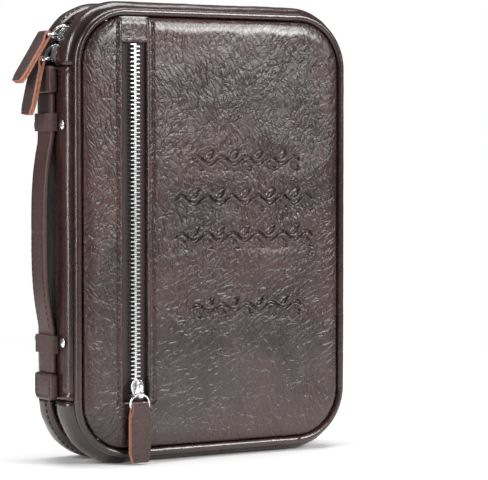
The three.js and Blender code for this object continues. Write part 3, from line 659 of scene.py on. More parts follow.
def leather_height(x, y, seed=0, amount=1.0):
    """The wrinkled surface of soft leather: long slanting creases over slow swells."""
    slow = soft_noise(x / 26, y / 26, seed + 3)
    steep = crease_layer(x, y, -60, 17.0, 2.9, seed + 5)
    flat = crease_layer(x, y, 42, 15.0, 2.8, seed + 7)
    across = crease_layer(x, y, -15, 9.0, 4.6, seed + 9)
    choose = 0.55 * (y - MIDDLE_Z - 0.9 * (x - 20)) / 90 + 0.75 * soft_noise(x / 34 + 7, y / 34, seed + 11)
    a, b = smoothstep(choose, -0.3, 0.4), smoothstep(-choose, -0.4, 0.3)
    height = 0.7 * a * steep + 0.6 * b * flat + 0.22 * across
    calm = 0.45 + 0.55 * smoothstep(y, 25, 90)
    fade = 0.35 + 0.65 * smoothstep(soft_noise(x / 40 + 3, y / 40 + 9, seed + 13), -0.5, 0.3)
    return amount * (0.22 * height * fade * calm + 0.42 * slow)


# ---- covers ----------------------------------------------------------------------------------------
def outline_inset(x, z):
    """How far a point lies inside the panel's rounded outline."""
    dx, dz = np.abs(x) - CORNER_X, np.abs(z - MIDDLE_Z) - CORNER_Z
    outside = np.hypot(np.maximum(dx, 0), np.maximum(dz, 0))
    return RADIUS - outside - np.minimum(np.maximum(dx, dz), 0)


EDGE_ROLL = 9.0
EDGE_DEPTH = 22.9


def panel_depth(x, z, crown=3.5):
    """The padded panel's depth: a rounded edge, then a slow swell towards the middle."""
    inset = np.maximum(outline_inset(x, z), 0)
    roll = 1 - np.clip(inset / EDGE_ROLL, 0, 1)
    swell = smoothstep(inset, 0, 60)
    return EDGE_DEPTH + (FACE_DEPTH - 0.45
                         - EDGE_DEPTH) * np.sqrt(1 - roll ** 2.2) + 0.45 * swell * crown / 3.5


def spaced(*stops):
    """Grid lines through (from, to, step) stretches."""
    lines = []
    for start, stop, step in stops:
        count = max(1, round((stop - start) / step))
        lines.extend(np.linspace(start, stop, count + 1))
    return np.unique(np.round(lines, 4))


def cut_mesh(bm, at, normal, keep_both=False):
    """Cuts a mesh along a plane, and drops what lies on the normal's side unless both are kept."""
    geometry = bm.verts[:] + bm.edges[:] + bm.faces[:]
    bmesh.ops.bisect_plane(bm, geom=geometry, plane_co=at, plane_no=normal, clear_outer=not keep_both,
                           dist=1e-7)


def clip_to_outline(bm, inset=0.0, step=6):
    """Cuts a flat-laid mesh off along the panel's rounded outline."""
    for a in np.arange(0, 360, step):
        co, si = math.cos(math.radians(a)), math.sin(math.radians(a))
        x = math.copysign(CORNER_X, co) if abs(co) > 1e-9 else 0
        z = math.copysign(CORNER_Z, si) if abs(si) > 1e-9 else 0
        at = place_one(x + (RADIUS - inset) * co, 0, MIDDLE_Z + z + (RADIUS - inset) * si)
        cut_mesh(bm, at, (co, 0, si))


def close_behind(bm, back):
    """Draws the open edges of a sheet back to a flat face and closes it."""
    rim = [e for e in bm.edges if e.is_boundary]
    wall = bmesh.ops.extrude_edge_only(bm, edges=rim)["geom"]
    for v in (g for g in wall if isinstance(g, bmesh.types.BMVert)):
        v.co.y = back
    bottom = [e for e in bm.edges if e.is_boundary]
    bmesh.ops.triangle_fill(bm, edges=bottom, use_beauty=True)
    bmesh.ops.recalc_face_normals(bm, faces=bm.faces)


def height_field(name, xs, zs, depth_at, side, material, back, keep=None):
    """A padded leather panel over a grid, cut to the outline and closed at the back."""
    gx, gz = np.meshgrid(xs, zs, indexing="ij")
    depth = depth_at(gx, gz)
    points = np.stack([gx, side * depth, gz], -1).reshape(-1, 3)
    faces = grid_faces(len(xs), len(zs))
    if keep is not None:
        mx, mz = (xs[:-1] + xs[1:]) / 2, (zs[:-1] + zs[1:]) / 2
        cx, cz = np.meshgrid(mx, mz, indexing="ij")
        faces = [f for f, k in zip(faces, keep(cx, cz).ravel()) if k]
    obj = new_object(name, points, faces, [material])
    bm = bmesh.new()
    bm.from_mesh(obj.data)
    clip_to_outline(bm)
    bmesh.ops.delete(bm, geom=[v for v in bm.verts if not v.link_faces], context="VERTS")
    bmesh.ops.remove_doubles(bm, verts=bm.verts, dist=0.12 * MM)
    close_behind(bm, place_one(0, side * back, 0)[1])
    bm.to_mesh(obj.data)
    bm.free()
    for polygon in obj.data.polygons:
        polygon.use_smooth = True
    return sharpen(obj, 55)


# The outside pocket's opening: its slot runs from here to the panel's top edge.
zip_low, zip_high = case_box("pocket_zip_left")
_, zip_right_high = case_box("pocket_zip_right")
SLOT_LEFT, SLOT_RIGHT = case_box("front_side_panel")[1][0], case_box("front_panel")[0][0]
SLOT_BOTTOM = case_box("pocket_bottom_block")[1][2]
SLOT_TOP = case_box("pocket_top_block")[0][2]
SLOT_MIDDLE = (SLOT_LEFT + SLOT_RIGHT) / 2
SLOT_ROLL = 1.5
STITCH_INSET = 3.6
STITCH_DEPTH = 0.55


def slot_distance(x, z):
    """Distance outside the pocket's slot, which is open at the top."""
    dx = np.maximum(np.maximum(SLOT_LEFT - x, x - SLOT_RIGHT), 0)
    dz = np.maximum(SLOT_BOTTOM - z, 0)
    return np.hypot(dx, dz)


# Bands of a plain leaf pattern pressed into the cover: middle height, ends and half height of each.
ORNAMENT_BANDS = ((170.8, -16.5, 56.5, 6.6), (148.3, -27.0, 65.5, 7.4), (127.0, -27.0, 65.5, 7.4),
                  (86.5, -17.0, 58.0, 6.2))
ORNAMENT_PRESS = 1.5
LEAF_PITCH = 8.2


def ornament_press(x, z):
    """How deep the leaf bands are pressed, from 0 to 1."""
    press = np.zeros(np.shape(x))
    for middle, left, right, half in ORNAMENT_BANDS:
        count = round((right - left) / LEAF_PITCH)
        pitch = (right - left) / count
        near = (np.abs(z - middle) < half + 3) & (x > left - 3) & (x < right + 3)
        if not near.any():
            continue
        px, pz = x[near], z[near] - middle
        stem = 0.32 * half * np.sin((px - left) / pitch * math.pi)
        inside = smoothstep(px, left - 0.3, left + 0.5) * smoothstep(-px, -right - 0.3, -right + 0.5)
        shape = inside * (1 - smoothstep(np.abs(pz - stem), 0.65, 1.05))
        for k in range(count):
            up = 1 if k % 2 else -1
            cx, cz = left + (k + 0.5) * pitch + 0.8, up * 0.55 * half
            a = up * math.radians(38)
            u = (px - cx) * math.cos(a) + (pz - cz) * math.sin(a)
            v = (pz - cz) * math.cos(a) - (px - cx) * math.sin(a)
            long, wide = 0.60 * half, 0.30 * half
            leaf = np.hypot(u / long, v / (wide * (1 - 0.35 * u / long)))
            vein = smoothstep(np.abs(v), 0.15, 0.5)
            shape = np.maximum(shape, (1 - smoothstep(leaf, 0.86, 1.06)) * (0.6 + 0.4 * vein))
        press[near] = np.maximum(press[near], shape)
    return press


def near_ornament(x, z):
    """1 in and close round the pressed bands, where the press has smoothed the leather."""
    near = np.zeros(np.shape(x))
    for middle, left, right, half in ORNAMENT_BANDS:
        out = np.maximum(np.maximum(left - x, x - right), np.abs(z - middle) - half)
        near = np.maximum(near, 1 - smoothstep(out, -1, 4))
    return near


def front_depth(x, z):
    depth = panel_depth(x, z)
    inset = outline_inset(x, z)
    calm = smoothstep(inset, 1.0, 10.0)
    slot = slot_distance(x, z)
    calm_slot = smoothstep(slot, 0.5, 7.0)
    press = ornament_press(x, z)
    smoothed = 1 - 0.85 * near_ornament(x, z)
    depth = depth + leather_height(x, z, 1) * calm * (0.3 + 0.7 * calm_slot) * smoothed
    depth = depth - ORNAMENT_PRESS * press
    groove = np.exp(-((slot - STITCH_INSET) / 0.75) ** 2)
    depth = depth - STITCH_DEPTH * groove * smoothstep(inset, 0, 4)
    fall = np.clip(1 - slot / SLOT_ROLL, 0, 1)
    return depth - (depth - PANEL_BACK - 0.7) * (1 - np.sqrt(1 - fall ** 2)) * (fall > 0)


def stitch(name, path, normals, length=2.3, gap=0.9, radius=0.32, sink=0.0, material=None):
    """Separate stitches along a path of points: each one a short thread that dives in at its ends."""
    path, normals = np.asarray(path, float), np.asarray(normals, float)
    steps = np.linalg.norm(np.diff(path, axis=0), axis=1)
    at = np.concatenate([[0], np.cumsum(steps)])
    count = int(at[-1] // (length + gap))
    vertices, faces = [], []
    sides = 5
    for k in range(count):
        s0 = k * (length + gap) + 0.5 * gap
        rows = []
        for t in (0, 0.12, 0.5, 0.88, 1):
            s = s0 + t * length
            centre = np.array([np.interp(s, at, path[:, i]) for i in range(3)])
            up = np.array([np.interp(s, at, normals[:, i]) for i in range(3)])
            up /= np.linalg.norm(up)
            ahead = np.array([np.interp(s + 0.1, at, path[:, i]) for i in range(3)])
            behind = np.array([np.interp(s - 0.1, at, path[:, i]) for i in range(3)])
            along_ = (ahead - behind) / max(np.linalg.norm(ahead - behind), 1e-9)
            across = np.cross(along_, up)
            lift = radius * (-0.9 if t in (0, 1) else 0.35) - sink
            size = radius * (0.5 if t in (0, 1) else 1.0)
            for m in range(sides):
                a = 2 * math.pi * m / sides
                rows.append(centre + up * (lift + size * math.sin(a)) + across * size * math.cos(a))
        first = len(vertices)
        vertices.extend(rows)
        faces += grid_faces(5, sides, False, True, first)
        faces += [list(range(first + sides))[-sides:][::-1],
                  list(range(first + 4 * sides, first + 5 * sides))]
    return facing(new_object(name, vertices, faces, [material or THREAD]))


def make_front_leather():
    xs = spaced((-HALF_WIDTH - 1, SLOT_LEFT - 5, 1.1), (SLOT_LEFT - 5, SLOT_LEFT - 1.6, 0.55),
                (SLOT_LEFT - 1.6, SLOT_LEFT, 0.2),
                (SLOT_RIGHT, SLOT_RIGHT + 1.6, 0.2), (SLOT_RIGHT + 1.6, SLOT_RIGHT + 5, 0.55),
                (SLOT_RIGHT + 5, -29, 1.1),
                (-29, 67, 0.6), (67, HALF_WIDTH + 1, 1.1), (SLOT_LEFT, SLOT_RIGHT, 1.5))
    zs = spaced((BOTTOM - 1, SLOT_BOTTOM - 5, 1.1), (SLOT_BOTTOM - 5, SLOT_BOTTOM - 1.6, 0.55),
                (SLOT_BOTTOM - 1.6, SLOT_BOTTOM, 0.2),
                (SLOT_BOTTOM, 78, 1.1), (78, 180, 0.6), (180, TOP + 1, 1.1))
    leather_ = height_field("front_leather", xs, zs, front_depth, -1, CASE, PANEL_BACK,
                            keep=lambda x, z: ~((x > SLOT_LEFT) & (x < SLOT_RIGHT) & (z > SLOT_BOTTOM)))
    top = TOP - 1.5
    corner = np.radians(np.linspace(180, 270, 8)[1:-1])
    run = [(SLOT_LEFT - STITCH_INSET, z) for z in np.linspace(top, SLOT_BOTTOM, 120)]
    run += [(SLOT_LEFT + STITCH_INSET * math.cos(a), SLOT_BOTTOM + STITCH_INSET * math.sin(a))
            for a in corner]
    run += [(x, SLOT_BOTTOM - STITCH_INSET) for x in np.linspace(SLOT_LEFT, SLOT_RIGHT, 9)]
    run += [(SLOT_RIGHT - STITCH_INSET * math.cos(a), SLOT_BOTTOM + STITCH_INSET * math.sin(a))
            for a in corner[::-1]]
    run += [(SLOT_RIGHT + STITCH_INSET, z) for z in np.linspace(SLOT_BOTTOM, top, 120)]
    run = np.array(run)
    path = np.stack([run[:, 0], -front_depth(run[:, 0], run[:, 1]), run[:, 1]], -1)
    thread_ = stitch("front_stitching", path, np.tile([0, -1, 0], (len(path), 1)))
    done(leather_, "front_cover", "case_leather", "front_panel", "front_side_panel", "pocket_bottom_block",
         pad=0.7)
    done(thread_, "front_cover", "case_leather")


make_front_leather()


def make_back_panel():
    xs = spaced((-HALF_WIDTH - 1, HALF_WIDTH + 1, 1.5))
    zs = spaced((BOTTOM - 1, TOP + 1, 1.5))

    def depth_at(x, z):
        calm = smoothstep(outline_inset(x, z), 1.0, 10.0)
        return panel_depth(x, z) + leather_height(x, z, 30) * calm * 0.8

    back = height_field("back_leather", xs, zs, depth_at, 1, CASE, PANEL_BACK)
    done(back, "back_cover", "case_leather", "back_panel", pad=0.7)


make_back_panel()


# ---- piping, gussets and main zip -------------------------------------------------------------------
HINGE_START = (-85.0, 0.0)
HINGE_END = (-78.1, 17.2)
SIDES = (("front", -1), ("back", 1))


def hinge_blend(cover, side):
    start = place_one(HINGE_START[0], side * HINGE_START[1], MIDDLE_Z)
    end = place_one(HINGE_END[0], side * HINGE_END[1], MIDDLE_Z)
    return ("spine", cover, start, end)


def open_loop(step):
    """The outline from the lower end of the spine round the opening edge to its upper end."""
    return outline(upper_end(step)[:-1], cover_stretch(step), lower_end(step)[1:])


def distance_along(path):
    return np.concatenate([[0], np.cumsum(np.hypot(*np.diff(path[:, :2], axis=0).T))])


def make_piping(side_name, side):
    path = whole_loop(2.0)
    a = np.arange(14) / 14 * 2 * math.pi
    section = np.stack([PIPE_OUT + PIPE_RADIUS * np.cos(a), side * (PIPE_DEPTH + PIPE_RADIUS * np.sin(a))],
                       -1)
    s = distance_along(path)
    wobble = 0.10 * soft_noise(s / 9, np.zeros(len(s)), 60 + side)[:, None]
    pipe = tube(side_name + "_rolled_piping", along(path, section, wobble), [SMOOTH], closed=True)
    done(pipe, side_name + "_cover", "case_leather", side_name + "_piping")


GUSSET_OUTER = ((1.8, 20.3), (3.8, 20.25), (6.3, 19.0), (8.2, 16.4), (8.9, 12.8), (8.7, 9.3), (7.9, 6.6),
                (6.7, 4.9), (5.2, 4.4))
GUSSET_INNER = ((4.2, 5.0), (4.9, 8.0), (5.5, 11.5), (5.2, 15.2), (3.2, 17.6), (0.6, 18.4))


def make_gusset(side_name, side):
    path = open_loop(2.0)
    section = curve_through(GUSSET_OUTER + GUSSET_INNER, 3, closed=True)
    s = distance_along(path)
    k = np.arange(len(section))
    outer = smoothstep(k, 1, 7) * smoothstep(-k, -26, -20)
    bend = 1 + 1.6 * (np.hypot(path[:, 2], path[:, 3]) * (np.abs(path[:, 2] * path[:, 3]) > 0.02))
    ripple = soft_noise(s[:, None] / 7.5 + 0 * k, k[None, :] / 5.0 + 0 * s[:, None], 70 + side)
    slow = soft_noise(s[:, None] / 30 + 0 * k, k[None, :] / 9.0 + 0 * s[:, None], 75 + side)
    wobble = outer[None, :] * (0.13 * bend[:, None] * ripple + 0.22 * slow)
    shape = np.stack([section[:, 0], side * section[:, 1]], -1)
    gusset = tube(side_name + "_padded_gusset", along(path, shape, wobble), [SMOOTH])
    nodes = [side_name + "_gusset", side_name + "_gusset_upper_end", side_name + "_gusset_lower_end"]
    done(gusset, None, "case_leather", *nodes, blend=hinge_blend(side_name + "_cover", side), pad=0.6)
    fine = open_loop(1.0)
    seam = along(fine, [(8.32, side * 7.6)])[:, 0]
    normals = np.stack([fine[:, 2], np.full(len(fine), -0.35 * side), fine[:, 3]], -1)
    thread_ = stitch(side_name + "_gusset_stitching", seam, normals, 2.6, 1.0, 0.28)
    done(thread_, None, "case_leather", blend=hinge_blend(side_name + "_cover", side))


TOOTH = ((-0.75, -0.5), (-0.75, 0.5), (0.2, 0.62), (1.0, 0.42), (2.9, 0.42), (2.9, -0.42), (1.0, -0.42),
         (0.2, -0.62))


def tooth_rows(at, forward, across, up, base, top):
    """One zip tooth: a flat outline raised from the tape, with a narrower top."""
    rows = []
    for height, shrink in ((base, 1.0), (0.8 * top + 0.2 * base, 1.0), (top, 0.72)):
        for a, f in TOOTH:
            middle = 1.1
            rows.append(at + across * (middle + (a - middle) * (0.9 + 0.1 * shrink)) + forward * f * shrink
                        + up * height)
    return rows


def teeth(name, places, materials):
    """places holds (point, forward, across, up, base, top) for each tooth."""
    vertices, faces = [], []
    n = len(TOOTH)
    for at, forward, across, up, base, top in places:
        first = len(vertices)
        vertices.extend(tooth_rows(at, forward, across, up, base, top))
        faces += grid_faces(3, n, False, True, first)
        faces += [list(range(first, first + n))[::-1], list(range(first + 2 * n, first + 3 * n))]
    return facing(new_object(name, vertices, faces, materials, smooth=False))


def make_main_zip(side_name, side):
    path = open_loop(2.4)
    tape = [(TAPE_OUT, 0.25), (TAPE_OUT, 3.0), (TAPE_OUT, 9.4), (TAPE_OUT + 0.65, 9.4),
            (TAPE_OUT + 0.65, 5.5),
            (TAPE_OUT + 0.65, 3.1), (TAPE_OUT + 1.0, 2.5), (TAPE_OUT + 1.0, 0.8), (TAPE_OUT + 0.6, 0.25)]
    band = tube(side_name + "_zip_tape", along(path, [(o, side * d) for o, d in tape]), [TAPE])
    sharpen(band, 50)
    nodes = [side_name + "_zip_half"] + (["zip_upper_end", "zip_lower_end"] if side < 0 else [])
    done(band, None, "zip_tape", *nodes, blend=hinge_blend(side_name + "_cover", side))

    fine = open_loop(0.8)
    s = distance_along(fine)
    offset = 0 if side < 0 else TOOTH_PITCH / 2
    places = []
    for at in np.arange(2.0 + offset, s[-1] - 2.0, TOOTH_PITCH):
        x, z, nx, nz = [np.interp(at, s, fine[:, i]) for i in range(4)]
        up = np.array([nx, 0, nz]) / math.hypot(nx, nz)
        places.append((np.array([x, 0, z]), np.array([up[2], 0, -up[0]]), np.array([0, side, 0]), up,
                       CHAIN_OUT, CHAIN_TOP))
    row = teeth(side_name + "_zip_teeth", places, [TEETH])
    done(row, None, "silver_metal", blend=hinge_blend(side_name + "_cover", side))


for side_name, side in SIDES:
    make_piping(side_name, side)
    make_gusset(side_name, side)
    make_main_zip(side_name, side)


# ---- outside pocket ---------------------------------------------------------------------------------
CHAIN_FRONT = -zip_low[1]
TAPE_FRONT = CHAIN_FRONT - 2.4


def make_pocket():
    for half, side, low, high in (("left", -1, SLOT_LEFT - 1.2, SLOT_MIDDLE - 0.25),
                                  ("right", 1, SLOT_MIDDLE + 0.25, SLOT_RIGHT + 1.2)):
        xs = np.linspace(low, high, 9)
        rows = np.linspace(SLOT_BOTTOM - 1, SLOT_TOP + 3, 60)
        face = np.zeros((len(rows), 2 * len(xs), 3))
        for i, z in enumerate(rows):
            near_chain = np.abs(xs - SLOT_MIDDLE) < 3.2
            y = -(TAPE_FRONT - 0.35 + 0.3 * near_chain) + 0.05 * soft_noise(xs / 4, np.full(9, z / 9), 81)
            face[i, :9] = np.stack([xs, y, np.full(9, z)], -1)
            face[i, 9:] = np.stack([xs[::-1], np.full(9, -(PANEL_BACK - 0.05)), np.full(9, z)], -1)
        band = sharpen(tube("pocket_tape_" + half, face, [TAPE]), 50)
        done(band, "front_cover", "zip_tape", "pocket_zip_" + half)
        offset = 0 if side < 0 else TOOTH_PITCH / 2
        places = [(np.array([SLOT_MIDDLE, 0, z]), np.array([0, 0, 1.0]), np.array([side, 0, 0]),
                   np.array([0, -1.0, 0]),
                   TAPE_FRONT - 0.2, CHAIN_FRONT)
                   for z in np.arange(SLOT_BOTTOM + 3 + offset, SLOT_TOP - 0.6, TOOTH_PITCH)]
        row = teeth("pocket_teeth_" + half, places, [TEETH])
        done(row, "front_cover", "silver_metal")

    xs = spaced((SLOT_LEFT - 1.5, SLOT_RIGHT + 1.5, 0.6))
    zs = spaced((SLOT_TOP, SLOT_TOP + 4, 0.25), (SLOT_TOP + 4, TOP + 1, 0.8))

    def depth_at(x, z):
        fold = 1 - np.clip((z - SLOT_TOP) / 1.4, 0, 1)
        step = 0.55 * (1 - smoothstep(z, SLOT_TOP + 2.6, SLOT_TOP + 3.4))
        body = 24.35 + step + 0.6 * leather_height(x, z, 90)
        edge = smoothstep(outline_inset(x, z), 0, 4)
        return PANEL_BACK + 0.4 + (body - PANEL_BACK - 0.4) * np.sqrt(1 - fold ** 2) * (0.35 + 0.65 * edge)

    block = height_field("pocket_top_leather", xs, zs, depth_at, -1, CASE, PANEL_BACK + 0.05)
    done(block, "front_cover", "case_leather", "pocket_top_block")


make_pocket()


# ---- spine ------------------------------------------------------------------------------------------
spine_low, spine_high = case_box("spine_panel")
SPINE_FACE = spine_low[0]
SPINE_EDGE = spine_high[1]
SPINE_OUTER = ((0.15, 0.0), (0.0, 7.0), (0.0, 12.0), (0.25, 15.2), (1.2, 17.8), (2.6, 19.4), (4.4, 20.1))


def make_spine():
    half = curve_through(SPINE_OUTER, 3)
    face = np.concatenate([half[::-1] * (1, -1), half[1:]])
    zs = np.concatenate([spine_low[2] + 0.05 + 3.2 * (1 - np.cos(np.linspace(0, math.pi / 2, 7))),
                         np.linspace(spine_low[2] + 4.5, spine_high[2] - 4.5, 96),
                         spine_high[2] - 0.05 - 3.2 * (1 - np.cos(np.linspace(math.pi / 2, 0, 7)))])
    rows = []
    for z in zs:
        end = min(z - spine_low[2], spine_high[2] - z)
        tuck = 2.4 * (1 - math.sqrt(1 - (1 - min(end / 2.2, 1)) ** 2))
        seam = 0.5 * math.exp(-((end - 4.6) / 0.8) ** 2) - 0.25 * math.exp(-((end - 2.2) / 1.4) ** 2)
        x = SPINE_FACE + face[:, 0] + tuck + seam + 0.12
        x = x - 0.16 * soft_noise(face[:, 1] / 7, np.full(len(face), z / 30), 100)
        x = x - 0.07 * soft_noise(face[:, 1] / 2.6, np.full(len(face), z / 9), 101)
        outer = np.stack([np.maximum(x, SPINE_FACE - 0.1), face[:, 1], np.full(len(face), z)], -1)
        inner = [[spine_high[0] - 0.1, SPINE_EDGE - 0.3, z], [spine_high[0] - 0.1, -SPINE_EDGE + 0.3, z]]
        rows.append(np.vstack([outer, inner]))
    panel = sharpen(tube("spine_leather", np.array(rows), [SMOOTH]), 55)
    done(panel, "spine", "case_leather", "spine_panel", pad=0.5)
    for name, z in (("upper", spine_high[2] - 4.6), ("lower", spine_low[2] + 4.6)):
        y = np.linspace(-18.6, 18.6, 60)
        inner = np.interp(np.abs(y), half[:, 1], half[:, 0])
        path = np.stack([SPINE_FACE + inner + 0.62, y, np.full(60, z)], -1)
        normals = np.stack([-np.ones(60), 0.6 * y / 18, np.zeros(60)], -1)
        done(stitch("spine_stitching_" + name, path, normals), "spine", "case_leather")


make_spine()


# ---- handle -----------------------------------------------------------------------------------------
grip_low, grip_high = case_box("handle_grip")
keeper_low, keeper_high = case_box("keeper_upper")
stopper_low, stopper_high = case_box("stopper_upper")
strap_low, strap_high = case_box("handle_strap_upper")
STRAP_HALF = strap_high[1]
STRAP_BACK = strap_high[0]
STRAP_THICK = 3.2
BOW = -(grip_low[0] - (STRAP_BACK - STRAP_THICK))
BOW_HALF = keeper_low[2] - MIDDLE_Z


def bow_at(z):
    d = np.clip(np.abs(z - MIDDLE_Z) / BOW_HALF, 0, 1)
    return BOW * (1 - d ** 3.2) ** 1.4


def strap_section(thick, half, soft=1.1):
    """A strap's rounded cross-section: (back distance, side) pairs."""
    outer = [(0, -half + 2.2), (0.15, -half + 0.9), (soft * 0.7, -half + 0.12), (thick / 2, -half),
             (thick - soft * 0.6, -half + 0.15),
             (thick - 0.1, -half + 1.1), (thick + 0.12, -half + 3.2), (thick + 0.2, 0)]
    return np.array(outer + [(t, -y) for t, y in outer[-2::-1]] + [(0, 0)])


def make_strap(name, up):
    zs = MIDDLE_Z + up * np.concatenate([[-0.02], np.linspace(0.4, BOW_HALF + 5, 70),
                                         np.linspace(BOW_HALF + 6, strap_high[2] - MIDDLE_Z, 14)])
    section = curve_through(strap_section(STRAP_THICK - 0.2, STRAP_HALF), 2, closed=True)
    rows = []
    for z in zs:
        crease = 0.10 * soft_noise(section[:, 1] / 5, np.full(len(section), z / 5.0), 110)
        x = STRAP_BACK - bow_at(z) - section[:, 0] + crease * (section[:, 0] > 1.5)
        rows.append(np.stack([x, section[:, 1], np.full(len(section), z)], -1))
    strap = tube(name, np.array(rows), [STRAP])
    start = place_one(STRAP_BACK, 0, MIDDLE_Z + up * 8)
    end = place_one(STRAP_BACK, 0, MIDDLE_Z + up * (BOW_HALF - 1))
    body = "stopper_" + ("upper" if up > 0 else "lower")
    nodes = ["handle_strap_" + ("upper" if up > 0 else "lower")] + (["handle_grip"] if up > 0 else [])
    done(strap, None, "strap_leather", *nodes, blend=("handle", body, start, end), pad=0.9)
    for side in (-1, 1):
        z = MIDDLE_Z + up * np.linspace(1.0, BOW_HALF - 1, 120)
        y = np.full(120, side * (STRAP_HALF - 2.1))
        path = np.stack([STRAP_BACK - bow_at(z) - STRAP_THICK + 0.12, y, z], -1)
        seam = stitch(name + "_stitching_" + ("front" if side < 0 else "back"), path,
                      np.tile([-1, 0, 0], (120, 1)), 2.4, 1.1, 0.26)
        done(seam, None, "strap_leather", blend=("handle", body, start, end))


def rounded_slab(name, outline_points, low, high, axis, materials, bevel):
    """A flat outline in two directions, thickened along the third, with soft edges."""
    outline_points = np.asarray(outline_points, float)
    rows = [np.insert(outline_points, axis, level, axis=1) for level in (low, high)]
    return rounded(tube(name, np.array(rows), materials), bevel, 3)


def arc_points(cx, cy, radius, start, stop, count=6):
    a = np.radians(np.linspace(start, stop, count))
    return np.stack([cx + radius * np.cos(a), cy + radius * np.sin(a)], -1)


def make_stopper(name, up):
    low, high = case_box(name)
    inner = low[2] if up > 0 else high[2]
    outer = high[2] if up > 0 else low[2]
    half, corner_r = high[1], 4.0
    length = abs(outer - inner)
    points = np.concatenate([
        arc_points(half - corner_r, length - corner_r, corner_r, 0, 90),
        arc_points(-half + corner_r, length - corner_r, corner_r, 90, 180),
        arc_points(-half + 2.2, 2.2, 2.2, 180, 270), arc_points(half - 2.2, 2.2, 2.2, 270, 360)])
    yz = np.stack([points[:, 0], inner + up * points[:, 1]], -1)
    slab = rounded_slab(name + "_tab", yz, low[0] + 0.05, high[0] - 0.05, 0, [STRAP], 1.15)
    done(slab, name, "strap_leather", name)
    inset = 1.9
    run = np.concatenate([[(half - inset, 3.0)],
                          arc_points(half - corner_r, length - corner_r, corner_r - inset, 0, 90),
                          arc_points(-half + corner_r, length - corner_r, corner_r - inset, 90, 180),
                          [(-half + inset, 3.0)]])
    steps = np.linspace(0, len(run) - 1, 90)
    y = np.interp(steps, np.arange(len(run)), run[:, 0])
    z = inner + up * np.interp(steps, np.arange(len(run)), run[:, 1])
    path = np.stack([np.full(90, low[0] + 0.0), y, z], -1)
    done(stitch(name + "_stitching", path, np.tile([-1, 0, 0], (90, 1)), 2.0, 0.9, 0.26), name,
         "strap_leather")


def make_keeper(name):
    low, high = case_box(name)
    outer_x, inner_x = low[0], low[0] + 1.4
    half = high[1]
    out = [(high[0] - 0.1, -half), (outer_x + 2.0, -half), (outer_x + 0.6, -half + 0.6),
           (outer_x, -half + 2.0), (outer_x - 0.15, 0)]
    inn = [(inner_x, 0), (inner_x, -half + 2.2), (inner_x + 0.8, -half + 1.4), (high[0] - 0.1, -half + 1.4)]
    section = np.array(out + [(x, -y) for x, y in out[-2::-1]] + [(x, -y) for x, y in inn[::-1]] + inn[1:])
    rows = [np.insert(section, 2, z, axis=1) for z in np.linspace(low[2], high[2], 6)]
    band = tube(name + "_band", np.array(rows), [CUT, TAN])
    for polygon in band.data.polygons:
        if abs(polygon.normal.z) > 0.8:
            polygon.material_index = 1
    sharpen(band, 50)
    rounded(band, 0.22, 2, angle=60)
    done(band, "spine", "cut_leather", name)


def make_rivet(name):
    low, high = case_box(name)
    y, z = (low[1] + high[1]) / 2, (low[2] + high[2]) / 2
    r = (high[2] - low[2]) / 2
    profile = ((0, 0), (r, 0), (r, 0.35), (0.93 * r, 0.62), (0.8 * r, 0.66), (0.74 * r, 0.86),
               (0.5 * r, 1.14), (0.25 * r, 1.26), (0, 1.3))
    rows = []
    for a in np.arange(28) / 28 * 2 * math.pi:
        rows.append([(high[0] - h, y + q * math.cos(a), z + q * math.sin(a)) for q, h in profile])
    vertices = np.array(rows)
    obj = new_object(name + "_head", vertices.reshape(-1, 3), grid_faces(28, len(profile), True, False),
                     [STEEL])
    bm = bmesh.new()
    bm.from_mesh(obj.data)
    bmesh.ops.remove_doubles(bm, verts=bm.verts, dist=1e-6)
    bmesh.ops.recalc_face_normals(bm, faces=bm.faces)
    bm.to_mesh(obj.data)
    bm.free()
    done(obj, "spine", "silver_metal", name)


for level, up in (("upper", 1), ("lower", -1)):
    make_strap("strap_" + level, up)
    make_stopper("stopper_" + level, up)
    make_keeper("keeper_" + level)
    for face in ("front", "back"):
        make_rivet("rivet_" + level + "_" + face)


# ---- sliders, rings and pulls -------------------------------------------------------------------------
SLIDER_PLATE = 1.5
BAIL_OUT = 4.2
BAIL_BACK = 3.4
WIRE = 0.7
RING_HALF = 5.9
RING_LENGTH = 7.0
PULL_HALF = 6.2
PULL_LENGTH = 31.0
FOLD_RADIUS = 2.3
LOWER_LEAN = math.radians(12.7)
UPPER_LEAN = math.radians(32.0)
LOWER_RING = (-0.97, 0, -0.24)
UPPER_RING = (-1, 0, -0.02)


def in_frame(points, origin, a, b, c):
    """Points given along three directions from an origin."""
    p = np.asarray(points, float)
    return origin + p[..., 0:1] * a + p[..., 1:2] * b + p[..., 2:3] * c


def unit(v):
    v = np.asarray(v, float)
    return v / np.linalg.norm(v)


def plate_of(name, outline_points, low, high, frame_of, materials, bevel):
    """A flat outline in the frame's first two directions, thickened along the third."""
    p = np.asarray(outline_points, float)
    rows = np.array([in_frame(np.insert(p, 2, level, axis=1), *frame_of) for level in (low, high)])
    obj = tube(name, rows, materials)
    return rounded(obj, bevel, 3)


